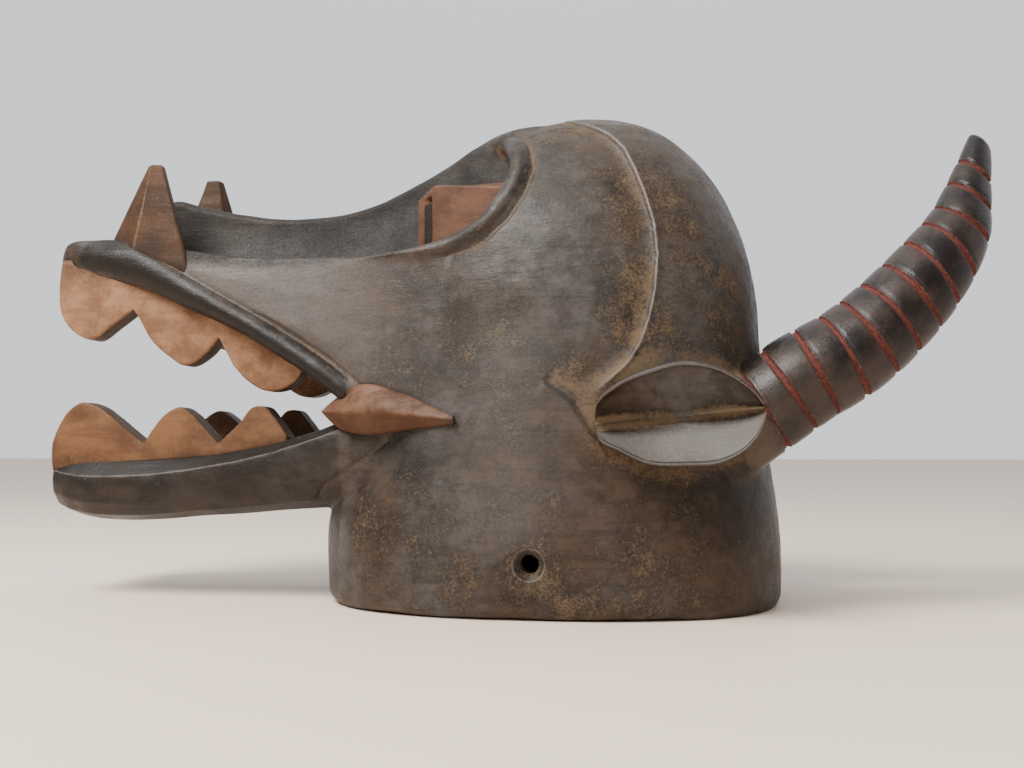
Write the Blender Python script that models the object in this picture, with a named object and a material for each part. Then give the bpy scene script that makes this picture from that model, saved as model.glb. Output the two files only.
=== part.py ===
# Helmet mask of a horned beast with open jaws, carved from one block of wood.
# The snout points along -X, the horns rise along +X, and the rim of the neck stands at z = 0.
# The origin is on the floor, under the middle of the mask's box.
import math

import bmesh
import bpy
import numpy as np
from mathutils import Matrix, Vector

# Driving dimensions, in metres
LENGTH = 0.724
NECK_WIDTH = 0.250
HEAD_WIDTH = 0.238
NECK_WALL = 0.022
DOME_WALL = 0.026
CAVITY_TOP = 0.335
CAP_STEP = 0.0022
ROPE_HOLE_DIAMETER = 0.013
ROPE_HOLE_HEIGHT = 0.037
ROPE_HOLE_PLACE = 0.036
ROPE_HOLE_SINK_DIAMETER = 0.020
ROPE_HOLE_SINK_DEPTH = 0.003
LIP_RADIUS = 0.0112
TOOTH_THICKNESS = 0.019
TOOTH_ROW_WIDTH = 0.108
BROW_BEAD_RADIUS = 0.0075
NOSE_TUSK_SPREAD = 0.094
EAR_THICKNESS = 0.068
EAR_SPREAD = 0.284
EAR_VALLEY_DEPTH = 0.020
EAR_RIM = 0.0035
HORN_SPACING = 0.130
HORN_TIP_SPACING = 0.030
FAR_HORN_DROP = 0.010
HORN_GROOVES = 12
GROOVE_WIDTH = 0.0050
GROOVE_DEPTH = 0.0020

# The carving is drawn on a side view, on a grid of 724 steps to the length, z from the rim up.
GRID = LENGTH / 724

# Head and neck, row by row: z, front x, back x, half width as a share of the width there, roundness
NECK_ROWS = [
    (0, -128, 212, 1.000, 2.5),
    (24, -130, 213, 1.000, 2.5),
    (62, -130, 212, 0.990, 2.4),
    (104, -117, 207, 0.980, 2.2),
    (150, -92, 201, 0.975, 2.3),
]
DOME_BASE = 200
DOME_CENTRE = 75
DOME_BACK = 122
DOME_RISE = 171
DOME_FRONT = [(200, -78), (250, -68), (300, -42), (330, -22), (350, 0), (362, 24), (371, 60)]
DOME_ROUNDNESS = 2.5
DOME_LEANS = (0, 12, 24, 36, 47, 57, 66, 74, 81, 86)

# Muzzle block under the ledge: x, half width, ledge z, underside z
MUZZLE = [
    (-343, 42, 270, 255),
    (-336, 50, 275, 250),
    (-320, 53, 278, 247),
    (-300, 55, 278, 243),
    (-268, 57, 274, 235),
    (-233, 59, 267, 226),
    (-200, 62, 262, 209),
    (-162, 68, 258, 191),
    (-125, 76, 256, 172),
    (-100, 82, 254, 150),
    (-72, 89, 253, 122),
    (-45, 95, 252, 108),
    (-15, 97, 248, 100),
    (25, 92, 236, 100),
]

# Muzzle's side, top to bottom: step in from the half width, share of the way down, and a further drop
MUZZLE_SECTION = [(3, 0, 0), (0, 0, 3), (-1, 0.35, 0), (0, 0.7, 0), (5, 1, -2), (12, 1, 0)]

# Ridge of the nose: x, top z, half width at the top, half width at the foot
NOSE = [
    (-286, 300, 8, 22),
    (-278, 319, 11, 25),
    (-255, 318, 12, 28),
    (-221, 309, 12, 30),
    (-165, 302, 13, 33),
    (-124, 306, 15, 37),
    (-94, 315, 18, 42),
    (-64, 327, 22, 48),
    (-34, 341, 26, 56),
    (-10, 353, 30, 64),
    (15, 362, 32, 68),
    (50, 366, 26, 62),
]

NOSE_SHOULDER = 5
NOSE_HOLLOW = 2.2
NOSE_FOOT = 254
NOSE_BASE = 240

# Rear edge of the eye recess, which the brow bead follows: z, x
BROW = [(252, -42), (258, -20), (268, 2), (282, 15), (300, 24), (318, 27), (334, 22), (350, 10), (366, -8)]

BEAD_LEAD = 3
BEAD_LEAST_SPREAD = 30
RECESS_TOP = 420
RECESS_FRONT = -150

# Lower jaw: x, half width, underside z, outer edge z, inner edge z
JAW = [
    (-352, 36, 80, 98, 102),
    (-349, 44, 72, 97, 104),
    (-340, 51, 65, 95, 105),
    (-322, 56, 60, 93, 106),
    (-297, 58, 57, 92, 106),
    (-263, 60, 58, 94, 107),
    (-229, 62, 61, 99, 109),
    (-195, 65, 63, 105, 113),
    (-161, 69, 66, 112, 119),
    (-128, 74, 68, 121, 128),
    (-100, 80, 70, 130, 138),
    (-60, 84, 74, 136, 146),
]
JAW_BAND = 11
JAW_BED_DIP = 3
JAW_BED_EDGE = 4

# Lower jaw's side, top to bottom: share of the half width, step out from it, and share of the way down
JAW_SECTION = [(1, 0, 0), (1, 1, 0.25), (1, -1, 0.55), (0.82, 0, 0.84), (0.5, 0, 0.98)]

# Upper lip, from the corner of the mouth to the snout: x, half width, z
LIP = [
    (-98, 82, 152),
    (-120, 78, 168),
    (-150, 71, 189),
    (-175, 67, 205),
    (-200, 63, 221),
    (-229, 60, 237),
    (-262, 57, 248),
    (-292, 54, 256),
    (-318, 49, 261),
    (-333, 36, 263),
    (-338, 17, 264),
]

# Teeth, as outlines of the side view from the snout to the corner of the mouth
UPPER_TEETH = [
    [(-343, 233), (-340, 218), (-331, 206), (-315, 199), (-299, 209), (-281, 222)],
    [(-276, 215), (-265, 197), (-251, 185), (-239, 178), (-222, 186), (-211, 199)],
    [(-199, 177), (-188, 166), (-173, 158), (-160, 159), (-147, 168), (-143, 178)],
]
UPPER_FAR_TEETH = [
    [(-334, 240), (-322, 228), (-306, 222), (-288, 224)],
    [(-276, 222), (-262, 207), (-245, 199), (-228, 197), (-211, 204)],
    UPPER_TEETH[2],
]
UPPER_ROOT = [(-150, 196), (-200, 230), (-260, 252), (-334, 262)]
LOWER_TEETH = [
    [(-346, 116), (-340, 132), (-332, 144), (-322, 150), (-309, 147), (-297, 139), (-283, 128), (-270, 117)],
    [(-262, 132), (-254, 140), (-241, 146), (-232, 141), (-222, 131), (-210, 117)],
    [(-193, 134), (-182, 146), (-174, 146), (-166, 138), (-154, 122)],
]
LOWER_FAR_TEETH = [[(-340, 110), (-330, 114), (-290, 114)]] + LOWER_TEETH[1:]
LOWER_ROOT = [(-150, 112), (-210, 101), (-270, 99), (-342, 99)]

# Tusks at the corners of the mouth: x, z of the belly's top and foot, and the two points
CORNER_TUSK_TIP = (-121, 141)
CORNER_TUSK_END = (-16, 133)
CORNER_TUSK_TOP = (-86, 160)
CORNER_TUSK_FOOT = (-80, 124)
CORNER_TUSK_SPREAD = (0.160, 0.216, 0.236)
CORNER_TUSK_SOFTENING = 0.010

# Nose tusk: apex and foot outline in x and, as shares of the spread, across
TUSK_APEX_HEIGHT = 336
TUSK_ROOT = 0.012
TUSK_APEX_SHARES = (1.06, 1.10, 0.94, 0.92)
FAR_TUSK_RISE = 12
FAR_TUSK_SHIFT = 8
TUSK_APEX = (-274, -263)
TUSK_FOOT = [(-299, 0.98, 276), (-282, 1.26, 268), (-240, 1.22, 256), (-238, 0.62, 262), (-292, 0.60, 268)]

# Eye block: plan outline in x and half width, and its heights
EYE_PLAN = [(-57, 40), (-42, 64), (2, 74), (8, 50), (-40, 30)]
EYE_FOOT = 245
EYE_TOP = [302, 310, 305, 318, 316]

# Edge of the raised back cap, from the crown down to the ear: x, z
CAP_EDGE = [
    (43, 380), (59, 360), (76, 350), (88, 341), (99, 327), (107, 308), (114, 287), (119, 267),
    (121, 245), (119, 221), (115, 202), (109, 185), (101, 172), (83, 155),
]
CAP_FOOT = 150
CAP_REACH = 260
CAP_TOP = 400

# Room for the wearer's head: where its dome starts, its shape and its stretch along the mask
ROOM_BASE = 160
ROOM_ROUNDNESS = 2.2
ROOM_STRETCH = 1.04
ROOM_LEANS = (0, 20, 40, 58, 73, 84)

# Ear: a lying leaf, pointed at both ends of its valley
EAR_FRONT = (81, 127)
EAR_BACK = (189, 140)
EAR_UPPER = [(86, 143), (97, 156), (116, 165), (138, 170), (160, 166), (174, 158), (184, 149)]
EAR_LOWER = [(186, 128), (176, 112), (161, 104), (139, 102), (115, 103), (98, 111), (86, 119)]
EAR_MIDDLE = (135, 136)
EAR_HALF_HEIGHT = 40
EAR_ROOT_SHRINK = 0.86
EAR_FLOOR_SHRINK = 0.94

# Horn: centre line x and z, and radius, from inside the head to the tip
HORN = [
    (150, 108, 33),
    (190, 138, 33.5),
    (222, 161, 33.5),
    (256, 181, 32.5),
    (288, 208, 31),
    (318, 240, 28.5),
    (332, 258, 26),
    (342, 275, 23),
    (349, 294, 19),
    (355, 313, 15.2),
    (360, 329, 11.8),
    (364, 343, 9.6),
]
FIRST_GROOVE = 0.183
LAST_GROOVE = 0.909
GROOVE_DRIFT = 0.036
ROOT_SLANT = math.radians(3)
TIP_SLANT = math.radians(15)
CLOSING_START = 0.25
HORN_SIDES = 16
RING_SIDES = 36

WOOD = ("carved wood", (0.055, 0.036, 0.026, 1.0), 0.48)


def clear_scene():
    for obj in list(bpy.data.objects):
        bpy.data.objects.remove(obj, do_unlink=True)


def collection(name):
    made = bpy.data.collections.new(name)
    bpy.context.scene.collection.children.link(made)
    return made


def material(name, colour, roughness):
    made = bpy.data.materials.new(name)
    made.use_nodes = True
    shader = made.node_tree.nodes["Principled BSDF"]
    shader.inputs["Base Color"].default_value = colour
    shader.inputs["Roughness"].default_value = roughness
    shader.inputs["Metallic"].default_value = 0.0
    return made


def through(points, at):
    """Values of a smooth curve through the points, whose first column is ascending, at the places given."""
    table = np.array(points, float)
    x = table[:, 0]
    at = np.clip(at, x[0], x[-1])
    slopes = np.gradient(table[:, 1:], x, axis=0)
    left = np.clip(np.searchsorted(x, at, side="right") - 1, 0, len(x) - 2)
    span = (x[left + 1] - x[left])[:, None]
    t = (at - x[left])[:, None] / span
    start, end = table[left, 1:], table[left + 1, 1:]
    return (
        (2 * t**3 - 3 * t**2 + 1) * start
        + (t**3 - 2 * t**2 + t) * span * slopes[left]
        + (3 * t**2 - 2 * t**3) * end
        + (t**3 - t**2) * span * slopes[left + 1]
    )


def mesh_object(name, bm, parts):
    """An object from a bmesh, with its faces turned outwards."""
    bmesh.ops.recalc_face_normals(bm, faces=bm.faces)
    mesh = bpy.data.meshes.new(name)
    bm.to_mesh(mesh)
    bm.free()
    made = bpy.data.objects.new(name, mesh)
    parts.objects.link(made)
    return made


def loft(name, rings, parts):
    """A closed body through rings of equally many points, with both ends capped."""
    bm = bmesh.new()
    rows = [[bm.verts.new(point) for point in ring] for ring in rings]
    for low, high in zip(rows, rows[1:]):
        for i in range(len(low)):
            j = (i + 1) % len(low)
            bm.faces.new((low[i], low[j], high[j], high[i]))
    bm.faces.new(rows[0])
    bm.faces.new(list(reversed(rows[-1])))
    return mesh_object(name, bm, parts)


def oval(centre, half_length, half_width, z, roundness, sides):
    """A level ring: a superellipse round the centre."""
    ring = []
    for i in range(sides):
        angle = 2 * math.pi * i / sides
        c, s = math.cos(angle), math.sin(angle)
        x = centre + half_length * math.copysign(abs(c) ** (2 / roundness), c)
        y = half_width * math.copysign(abs(s) ** (2 / roundness), s)
        ring.append((x, y, z))
    return ring


def dome_ring(lean, grow):
    """A ring of the dome at an angle of elevation, grown outwards by a distance in metres."""
    z = DOME_BASE + DOME_RISE * math.sin(lean)
    back = DOME_CENTRE + DOME_BACK * math.cos(lean)
    front = float(through([(row[0], row[1]) for row in DOME_FRONT], np.array([z]))[0, 0])
    half_width = HEAD_WIDTH / 2 * math.cos(lean)
    lift = grow * math.sin(lean)
    spread = grow * math.cos(lean)
    return oval(
        GRID * (front + back) / 2,
        GRID * (back - front) / 2 + spread,
        half_width + spread,
        GRID * z + lift,
        DOME_ROUNDNESS,
        RING_SIDES,
    )


def dome_rings(grow):
    return [dome_ring(math.radians(lean), grow) for lean in DOME_LEANS]


def head(parts):
    """Neck, cheeks and dome, as level rings from the rim up."""
    rings = []
    for z, front, back, share, roundness in NECK_ROWS:
        half_width = share * NECK_WIDTH / 2
        middle, half_length = GRID * (front + back) / 2, GRID * (back - front) / 2
        rings.append(oval(middle, half_length, half_width, GRID * z, roundness, RING_SIDES))
    return loft("mask", rings + dome_rings(0.0), parts)


def prism(name, outline, low, high, parts):
    """An outline of the side view carried straight across, from y = low to y = high."""
    bm = bmesh.new()
    near = [bm.verts.new((GRID * x, low, GRID * z)) for x, z in outline]
    far = [bm.verts.new((GRID * x, high, GRID * z)) for x, z in outline]
    bm.faces.new(near)
    bm.faces.new(list(reversed(far)))
    for i in range(len(near)):
        j = (i + 1) % len(near)
        bm.faces.new((near[i], far[i], far[j], near[j]))
    return mesh_object(name, bm, parts)


def recess(cutters):
    """The space in front of the brow and above the ledge, cut straight through the head."""
    rear = [(x, z) for z, x in BROW]
    outline = rear + [(rear[-1][0], RECESS_TOP), (RECESS_FRONT, RECESS_TOP), (RECESS_FRONT, rear[0][1])]
    reach = HEAD_WIDTH
    return prism("recess cutter", outline, -reach, reach, cutters)


def back_cap(parts, cutters):
    """The back of the dome behind its curved edge, raised a little over the temples."""
    low_rings = []
    for z, front, back, share, roundness in NECK_ROWS[3:]:
        half_width = share * NECK_WIDTH / 2 + CAP_STEP
        middle = GRID * (front + back) / 2
        half_length = GRID * (back - front) / 2 + CAP_STEP
        low_rings.append(oval(middle, half_length, half_width, GRID * z, roundness, RING_SIDES))
    cap = loft("back cap", low_rings + dome_rings(CAP_STEP), parts)
    front_top, front_foot = CAP_EDGE[0][0], CAP_EDGE[-1][0]
    behind = [(front_foot, CAP_FOOT), (CAP_REACH, CAP_FOOT), (CAP_REACH, CAP_TOP), (front_top, CAP_TOP)]
    outline = CAP_EDGE + behind
    bound = prism("cap bound", outline, -HEAD_WIDTH, HEAD_WIDTH, cutters)
    combine(cap, bound, "INTERSECT")
    return cap


def mirrored_ring(half, x):
    """A ring across the mask from its near half: pairs of half width and z, top first."""
    near = [(x, -y, z) for y, z in half]
    far = [(x, y, z) for y, z in reversed(half) if y > 0]
    return near + far


def muzzle(parts):
    """The upper jaw below the ledge: a block with softened corners, section by section."""
    rings = []
    for x, width, ledge, foot in MUZZLE:
        tall = ledge - foot
        side = [(width - step, ledge - share * tall - drop) for step, share, drop in MUZZLE_SECTION]
        half = [(0, ledge)] + side + [(0, foot)]
        rings.append(mirrored_ring([(GRID * y, GRID * z) for y, z in half], GRID * x))
    return loft("muzzle", rings, parts)


def nose(parts):
    """The ridge of the nose with its hollow flanks, from the tusks up to the crown."""
    rings = []
    for x, top, crest, foot in NOSE:
        shoulder = top - NOSE_SHOULDER
        half = [(0, top), (0.6 * crest, top - 0.25 * NOSE_SHOULDER), (crest, shoulder)]
        for share in (0.25, 0.5, 0.72, 0.88, 1.0):
            hollow = (share**NOSE_HOLLOW) * (foot - crest)
            half.append((crest + hollow, shoulder - share * (shoulder - NOSE_FOOT)))
        half += [(foot + 1, NOSE_BASE), (0, NOSE_BASE)]
        rings.append(mirrored_ring([(GRID * y, GRID * z) for y, z in half], GRID * x))
    return loft("nose", rings, parts)


def lower_jaw(parts):
    """The lower jaw: a boat with a sloping band along its edge."""
    rings = []
    for x, width, foot, outer, inner in JAW:
        tall = outer - foot
        bed = [(0, inner - JAW_BED_DIP), (width - JAW_BAND - JAW_BED_EDGE, inner), (width - JAW_BAND, inner)]
        side = [(share * width + step, outer - down * tall) for share, step, down in JAW_SECTION]
        half = bed + side + [(0, foot)]
        rings.append(mirrored_ring([(GRID * y, GRID * z) for y, z in half], GRID * x))
    return loft("lower jaw", rings, parts)


def tube(name, points, radius, parts):
    """A rounded bar along the points, as a curve made into a mesh."""
    data = bpy.data.curves.new(name, "CURVE")
    data.dimensions = "3D"
    data.bevel_depth = radius
    data.bevel_resolution = 1
    data.use_fill_caps = True
    spline = data.splines.new("POLY")
    spline.points.add(len(points) - 1)
    for place, point in zip(spline.points, points):
        place.co = (*point, 1.0)
    guide = bpy.data.objects.new(name + " guide", data)
    parts.objects.link(guide)
    bpy.context.view_layer.update()
    evaluated = guide.evaluated_get(bpy.context.evaluated_depsgraph_get())
    mesh = bpy.data.meshes.new_from_object(evaluated)
    bm = bmesh.new()
    bm.from_mesh(mesh)
    bmesh.ops.remove_doubles(bm, verts=bm.verts, dist=0.00001)
    made = mesh_object(name, bm, parts)
    made.matrix_world = guide.matrix_world
    bpy.data.meshes.remove(mesh)
    bpy.data.objects.remove(guide, do_unlink=True)
    return made


def upper_lip(parts):
    """The rolled lip, from one corner of the mouth round the snout to the other."""
    near = [(GRID * x, -GRID * y, GRID * z) for x, y, z in LIP]
    far = [(x, -y, z) for x, y, z in reversed(near)]
    return tube("upper lip", near + far, LIP_RADIUS, parts)


def tooth_rows(parts):
    """The four rows of teeth, each an outline with the thickness of a board."""
    outer = TOOTH_ROW_WIDTH / 2
    inner = outer - TOOTH_THICKNESS
    rows = [
        ("upper", -outer, -inner, UPPER_TEETH, UPPER_ROOT),
        ("upper far", inner, outer, UPPER_FAR_TEETH, UPPER_ROOT),
        ("lower", -outer, -inner, LOWER_TEETH, LOWER_ROOT),
        ("lower far", inner, outer, LOWER_FAR_TEETH, LOWER_ROOT),
    ]
    made = []
    for name, low, high, teeth, root in rows:
        outline = [point for tooth in teeth for point in tooth] + root
        made.append(prism(name + " teeth", outline, low, high, parts))
    return made


def hull(name, points, parts):
    """A faceted body: the hull of its points."""
    bm = bmesh.new()
    for point in points:
        bm.verts.new(point)
    found = bmesh.ops.convex_hull(bm, input=bm.verts)
    unused = found["geom_interior"] + found["geom_unused"]
    loose = {item for item in unused if isinstance(item, bmesh.types.BMVert)}
    bmesh.ops.delete(bm, geom=list(loose), context="VERTS")
    return mesh_object(name, bm, parts)


def nose_tusk(side, rise, shift, parts):
    """A blunt pyramid on the snout. side is -1 near and 1 far."""
    half = NOSE_TUSK_SPREAD / 2
    points = [(GRID * (x + shift), side * half * share, GRID * z) for x, share, z in TUSK_FOOT]
    points += [(x, y, z - TUSK_ROOT) for x, y, z in points]
    front, back = (x + shift for x in TUSK_APEX)
    top = GRID * (TUSK_APEX_HEIGHT + rise)
    for x, share in zip((front, back, back, front), TUSK_APEX_SHARES):
        points.append((GRID * x, side * half * share, top))
    return hull("nose tusk", points, parts)


def corner_tusk(side, parts):
    """A long diamond at the corner of the mouth."""
    tip_spread, belly_spread, end_spread = CORNER_TUSK_SPREAD
    (tip_x, tip_z), (end_x, end_z) = CORNER_TUSK_TIP, CORNER_TUSK_END
    (top_x, top_z), (foot_x, foot_z) = CORNER_TUSK_TOP, CORNER_TUSK_FOOT
    middle = (top_z + foot_z) / 2
    tip_y, belly_y, end_y = (side * spread / 2 for spread in (tip_spread, belly_spread, end_spread))
    inner = side * (tip_spread / 2 - NECK_WALL / 2)
    soft = CORNER_TUSK_SOFTENING
    points = [
        (GRID * tip_x, tip_y, GRID * tip_z),
        (GRID * (tip_x + 2), tip_y, GRID * (tip_z - 10)),
        (GRID * (top_x - 12), belly_y - side * soft, GRID * (top_z - 1)),
        (GRID * (top_x + 8), belly_y - side * soft, GRID * top_z),
        (GRID * (foot_x - 14), belly_y - side * soft, GRID * foot_z),
        (GRID * (foot_x + 14), belly_y - side * soft, GRID * foot_z),
        (GRID * (top_x - 8), belly_y, GRID * middle),
        (GRID * (top_x + 34), (belly_y + end_y) / 2, GRID * (middle - 2)),
        (GRID * end_x, end_y, GRID * end_z),
        (GRID * (end_x + 2), end_y, GRID * (end_z - 4)),
        (GRID * top_x, inner, GRID * (top_z - 6)),
        (GRID * foot_x, inner, GRID * (foot_z + 6)),
    ]
    return hull("corner tusk", points, parts)


def eye(side, parts):
    """The eye: a block on the ledge with a narrow front facet and a broad side facet."""
    points = [(GRID * x, side * GRID * y, GRID * EYE_FOOT) for x, y in EYE_PLAN]
    for (x, y), top in zip(EYE_PLAN, EYE_TOP):
        points.append((GRID * x, side * GRID * y, GRID * top))
    return hull("eye", points, parts)


def head_half_width(x, z):
    """Half width of the head at a place of the side view, from the same rings as the dome's."""
    lean = math.asin((z - DOME_BASE) / DOME_RISE)
    front = float(through([(row[0], row[1]) for row in DOME_FRONT], np.array([z]))[0, 0])
    back = DOME_CENTRE + DOME_BACK * math.cos(lean)
    share = abs(x - (front + back) / 2) / ((back - front) / 2)
    if share >= 1:
        return 0.0
    return HEAD_WIDTH / 2 * math.cos(lean) * (1 - share**DOME_ROUNDNESS) ** (1 / DOME_ROUNDNESS)


def brow_bead(side, parts):
    """The raised bead along the rear edge of the eye recess, on the surface of the head."""
    points = []
    for z, x in BROW[:-2]:
        depth = max(head_half_width(x + BEAD_LEAD, z) - BROW_BEAD_RADIUS / 2, GRID * BEAD_LEAST_SPREAD)
        points.append((GRID * (x + BEAD_LEAD), side * depth, GRID * z))
    return tube("brow bead", points, BROW_BEAD_RADIUS, parts)


def ear(side, parts):
    """A thick leaf standing out from the head, its outer face cut to a valley."""
    outline = [EAR_FRONT] + EAR_UPPER + [EAR_BACK] + EAR_LOWER
    count = len(outline)
    middle = Vector(EAR_MIDDLE)
    (front_x, front_z), (back_x, back_z) = EAR_FRONT, EAR_BACK
    rim_y = side * EAR_SPREAD / 2
    root_y = rim_y - side * EAR_THICKNESS
    valley_y = rim_y - side * EAR_VALLEY_DEPTH

    def scaled(point, factor):
        return middle + (Vector(point) - middle) * factor

    def valley(point):
        share = (point[0] - front_x) / (back_x - front_x)
        bow = math.sin(math.pi * min(max(share, 0.0), 1.0)) ** 0.5
        return (point[0], rim_y + (valley_y - rim_y) * bow, front_z + (back_z - front_z) * share)

    inner_scale = 1 - EAR_RIM / (GRID * EAR_HALF_HEIGHT)
    bm = bmesh.new()

    def place(point, y):
        return bm.verts.new((GRID * point[0], y, GRID * point[1]))

    root = [place(scaled(p, EAR_ROOT_SHRINK), root_y) for p in outline]
    rim = [place(p, rim_y - side * GRID) for p in outline]
    inner = [place(scaled(p, inner_scale), rim_y) for p in outline]
    floor = []
    for p in outline:
        x, y, z = valley(scaled(p, inner_scale * EAR_FLOOR_SHRINK))
        floor.append(bm.verts.new((GRID * x, y, GRID * z)))
    for low, high in ((root, rim), (rim, inner), (inner, floor)):
        for i in range(count):
            j = (i + 1) % count
            bm.faces.new((low[i], low[j], high[j], high[i]))
    bm.faces.new(root)
    half = len(EAR_UPPER) + 1
    for i in range(half):
        a, b = floor[i], floor[i + 1]
        c, d = floor[(count - i - 1) % count], floor[(count - i) % count]
        bm.faces.new([v for v in dict.fromkeys((a, b, c, d))])
    bmesh.ops.remove_doubles(bm, verts=bm.verts, dist=0.00005)
    return mesh_object("ear", bm, parts)


def horn_path(drop):
    """Length along the horn's centre line, with x, z, radius and distance from the middle plane."""
    table = np.array(HORN, float) * GRID
    table[:, 1] -= drop
    steps = np.hypot(np.diff(table[:, 0]), np.diff(table[:, 1]))
    run = np.concatenate([[0.0], np.cumsum(steps)])
    closing = np.clip((run / run[-1] - CLOSING_START) / (1 - CLOSING_START), 0, 1) ** 1.5
    spread = (HORN_SPACING + (HORN_TIP_SPACING - HORN_SPACING) * closing) / 2
    return np.column_stack([run, table, spread])


def horn(side, drop, parts):
    """A curved horn with grooves cut round it, ring by ring."""
    path = horn_path(drop)
    total = path[-1, 0]
    places = [0.0, 0.1 * total]
    dips = [0.0, 0.0]
    for i in range(HORN_GROOVES):
        share = i / (HORN_GROOVES - 1)
        share += GROOVE_DRIFT * math.sin(math.pi * share)
        middle = (FIRST_GROOVE + (LAST_GROOVE - FIRST_GROOVE) * share) * total
        places += [middle - GROOVE_WIDTH / 2, middle, middle + GROOVE_WIDTH / 2]
        dips += [0.0, GROOVE_DEPTH, 0.0]
    places += [0.985 * total, total]
    dips += [0.0, 0.0]
    places = np.maximum.accumulate(np.array(places))
    line = through(path, places)
    ahead = through(path, places + 0.0005)[:, :2] - through(path, places - 0.0005)[:, :2]
    rings = []
    for place, (x, z, radius, spread), (dx, dz), dip in zip(places, line, ahead, dips):
        slant = ROOT_SLANT + (TIP_SLANT - ROOT_SLANT) * (place / total) ** 2
        lean = math.atan2(dz, dx) - slant
        across = Vector((-math.sin(lean), 0, math.cos(lean)))
        centre = Vector((x, side * spread, z))
        size = radius - dip
        ring = []
        for i in range(HORN_SIDES):
            angle = 2 * math.pi * i / HORN_SIDES
            ring.append(centre + across * (size * math.cos(angle)) + Vector((0, size * math.sin(angle), 0)))
        rings.append(ring)
    return loft("horn", rings, parts)


def cavity(cutters):
    """The room for the wearer's head: the neck's rings less the wall, closed under the crown."""
    rings = []
    for z, front, back, share, roundness in [(-20, *NECK_ROWS[0][1:])] + NECK_ROWS[:3]:
        middle, half_length = GRID * (front + back) / 2, GRID * (back - front) / 2 - NECK_WALL
        half_width = share * NECK_WIDTH / 2 - NECK_WALL
        rings.append(oval(middle, half_length, half_width, GRID * z, roundness, RING_SIDES))
    inner_rise = CAVITY_TOP - GRID * ROOM_BASE
    for lean in ROOM_LEANS:
        c, s = math.cos(math.radians(lean)), math.sin(math.radians(lean))
        half_length = (GRID * DOME_BACK - DOME_WALL) * c * ROOM_STRETCH
        half_width = (HEAD_WIDTH / 2 - DOME_WALL) * c
        z = GRID * ROOM_BASE + inner_rise * s
        rings.append(oval(GRID * DOME_CENTRE, half_length, half_width, z, ROOM_ROUNDNESS, RING_SIDES))
    return loft("cavity cutter", rings, cutters)


def rod(name, radius, low, high, x, z, cutters):
    """A round bar across the mask."""
    bm = bmesh.new()
    turn = Matrix.Rotation(math.radians(90), 4, "X")
    place = Matrix.Translation((x, (low + high) / 2, z)) @ turn
    bmesh.ops.create_cone(
        bm, cap_ends=True, segments=20, radius1=radius, radius2=radius, depth=high - low, matrix=place
    )
    return mesh_object(name, bm, cutters)


def rope_holes(cutters):
    """A bore through each side of the neck, sunk a little round its mouth."""
    x, z = ROPE_HOLE_PLACE, ROPE_HOLE_HEIGHT
    reach = NECK_WIDTH
    sunk = NECK_WIDTH / 2 - ROPE_HOLE_SINK_DEPTH
    return [
        rod("rope hole", ROPE_HOLE_DIAMETER / 2, -reach, reach, x, z, cutters),
        rod("rope hole mouth near", ROPE_HOLE_SINK_DIAMETER / 2, -reach, -sunk, x, z, cutters),
        rod("rope hole mouth far", ROPE_HOLE_SINK_DIAMETER / 2, sunk, reach, x, z, cutters),
    ]


def combine(body, other, operation):
    """Joins, cuts or trims the body by the other piece, which is then a hidden helper."""
    step = body.modifiers.new(other.name, "BOOLEAN")
    step.operation = operation
    step.object = other
    step.solver = "EXACT"
    bpy.context.view_layer.update()
    evaluated = body.evaluated_get(bpy.context.evaluated_depsgraph_get())
    mesh = bpy.data.meshes.new_from_object(evaluated)
    body.modifiers.remove(step)
    old = body.data
    body.data = mesh
    bpy.data.meshes.remove(old)
    bpy.data.objects.remove(other, do_unlink=True)


def tidy_mesh(body):
    """Flat faces split up and close points merged, so that the solid has no slivers."""
    bm = bmesh.new()
    bm.from_mesh(body.data)
    bmesh.ops.remove_doubles(bm, verts=bm.verts, dist=0.00008)
    bmesh.ops.dissolve_degenerate(bm, edges=bm.edges, dist=0.00005)
    bmesh.ops.triangulate(bm, faces=bm.faces)
    bm.to_mesh(body.data)
    bm.free()


def centre_on_floor(body):
    """Moves the mesh so that the middle of its box is over the origin."""
    points = np.array([vertex.co for vertex in body.data.vertices])
    middle = (points.min(axis=0) + points.max(axis=0)) / 2
    body.data.transform(Matrix.Translation((-middle[0], -middle[1], 0.0)))


def build():
    clear_scene()
    parts = collection("helmet mask")
    cutters = collection("cutters")
    mask = head(parts)
    combine(mask, back_cap(parts, cutters), "UNION")
    combine(mask, recess(cutters), "DIFFERENCE")
    for piece in (muzzle(parts), nose(parts), lower_jaw(parts), upper_lip(parts)):
        combine(mask, piece, "UNION")
    for row in tooth_rows(parts):
        combine(mask, row, "UNION")
    for side, rise, shift, drop in ((-1, 0, 0, 0.0), (1, FAR_TUSK_RISE, FAR_TUSK_SHIFT, FAR_HORN_DROP)):
        combine(mask, nose_tusk(side, rise, shift, parts), "UNION")
        combine(mask, corner_tusk(side, parts), "UNION")
        combine(mask, eye(side, parts), "UNION")
        combine(mask, brow_bead(side, parts), "UNION")
        combine(mask, horn(side, drop, parts), "UNION")
        combine(mask, ear(side, parts), "UNION")
    combine(mask, cavity(cutters), "DIFFERENCE")
    for cutter in rope_holes(cutters):
        combine(mask, cutter, "DIFFERENCE")
    tidy_mesh(mask)
    centre_on_floor(mask)
    mask.data.materials.clear()
    mask.data.materials.append(material(*WOOD))
    mask.data.shade_smooth()
    mask.data.set_sharp_from_angle(angle=math.radians(32))


build()
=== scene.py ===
import math

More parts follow.
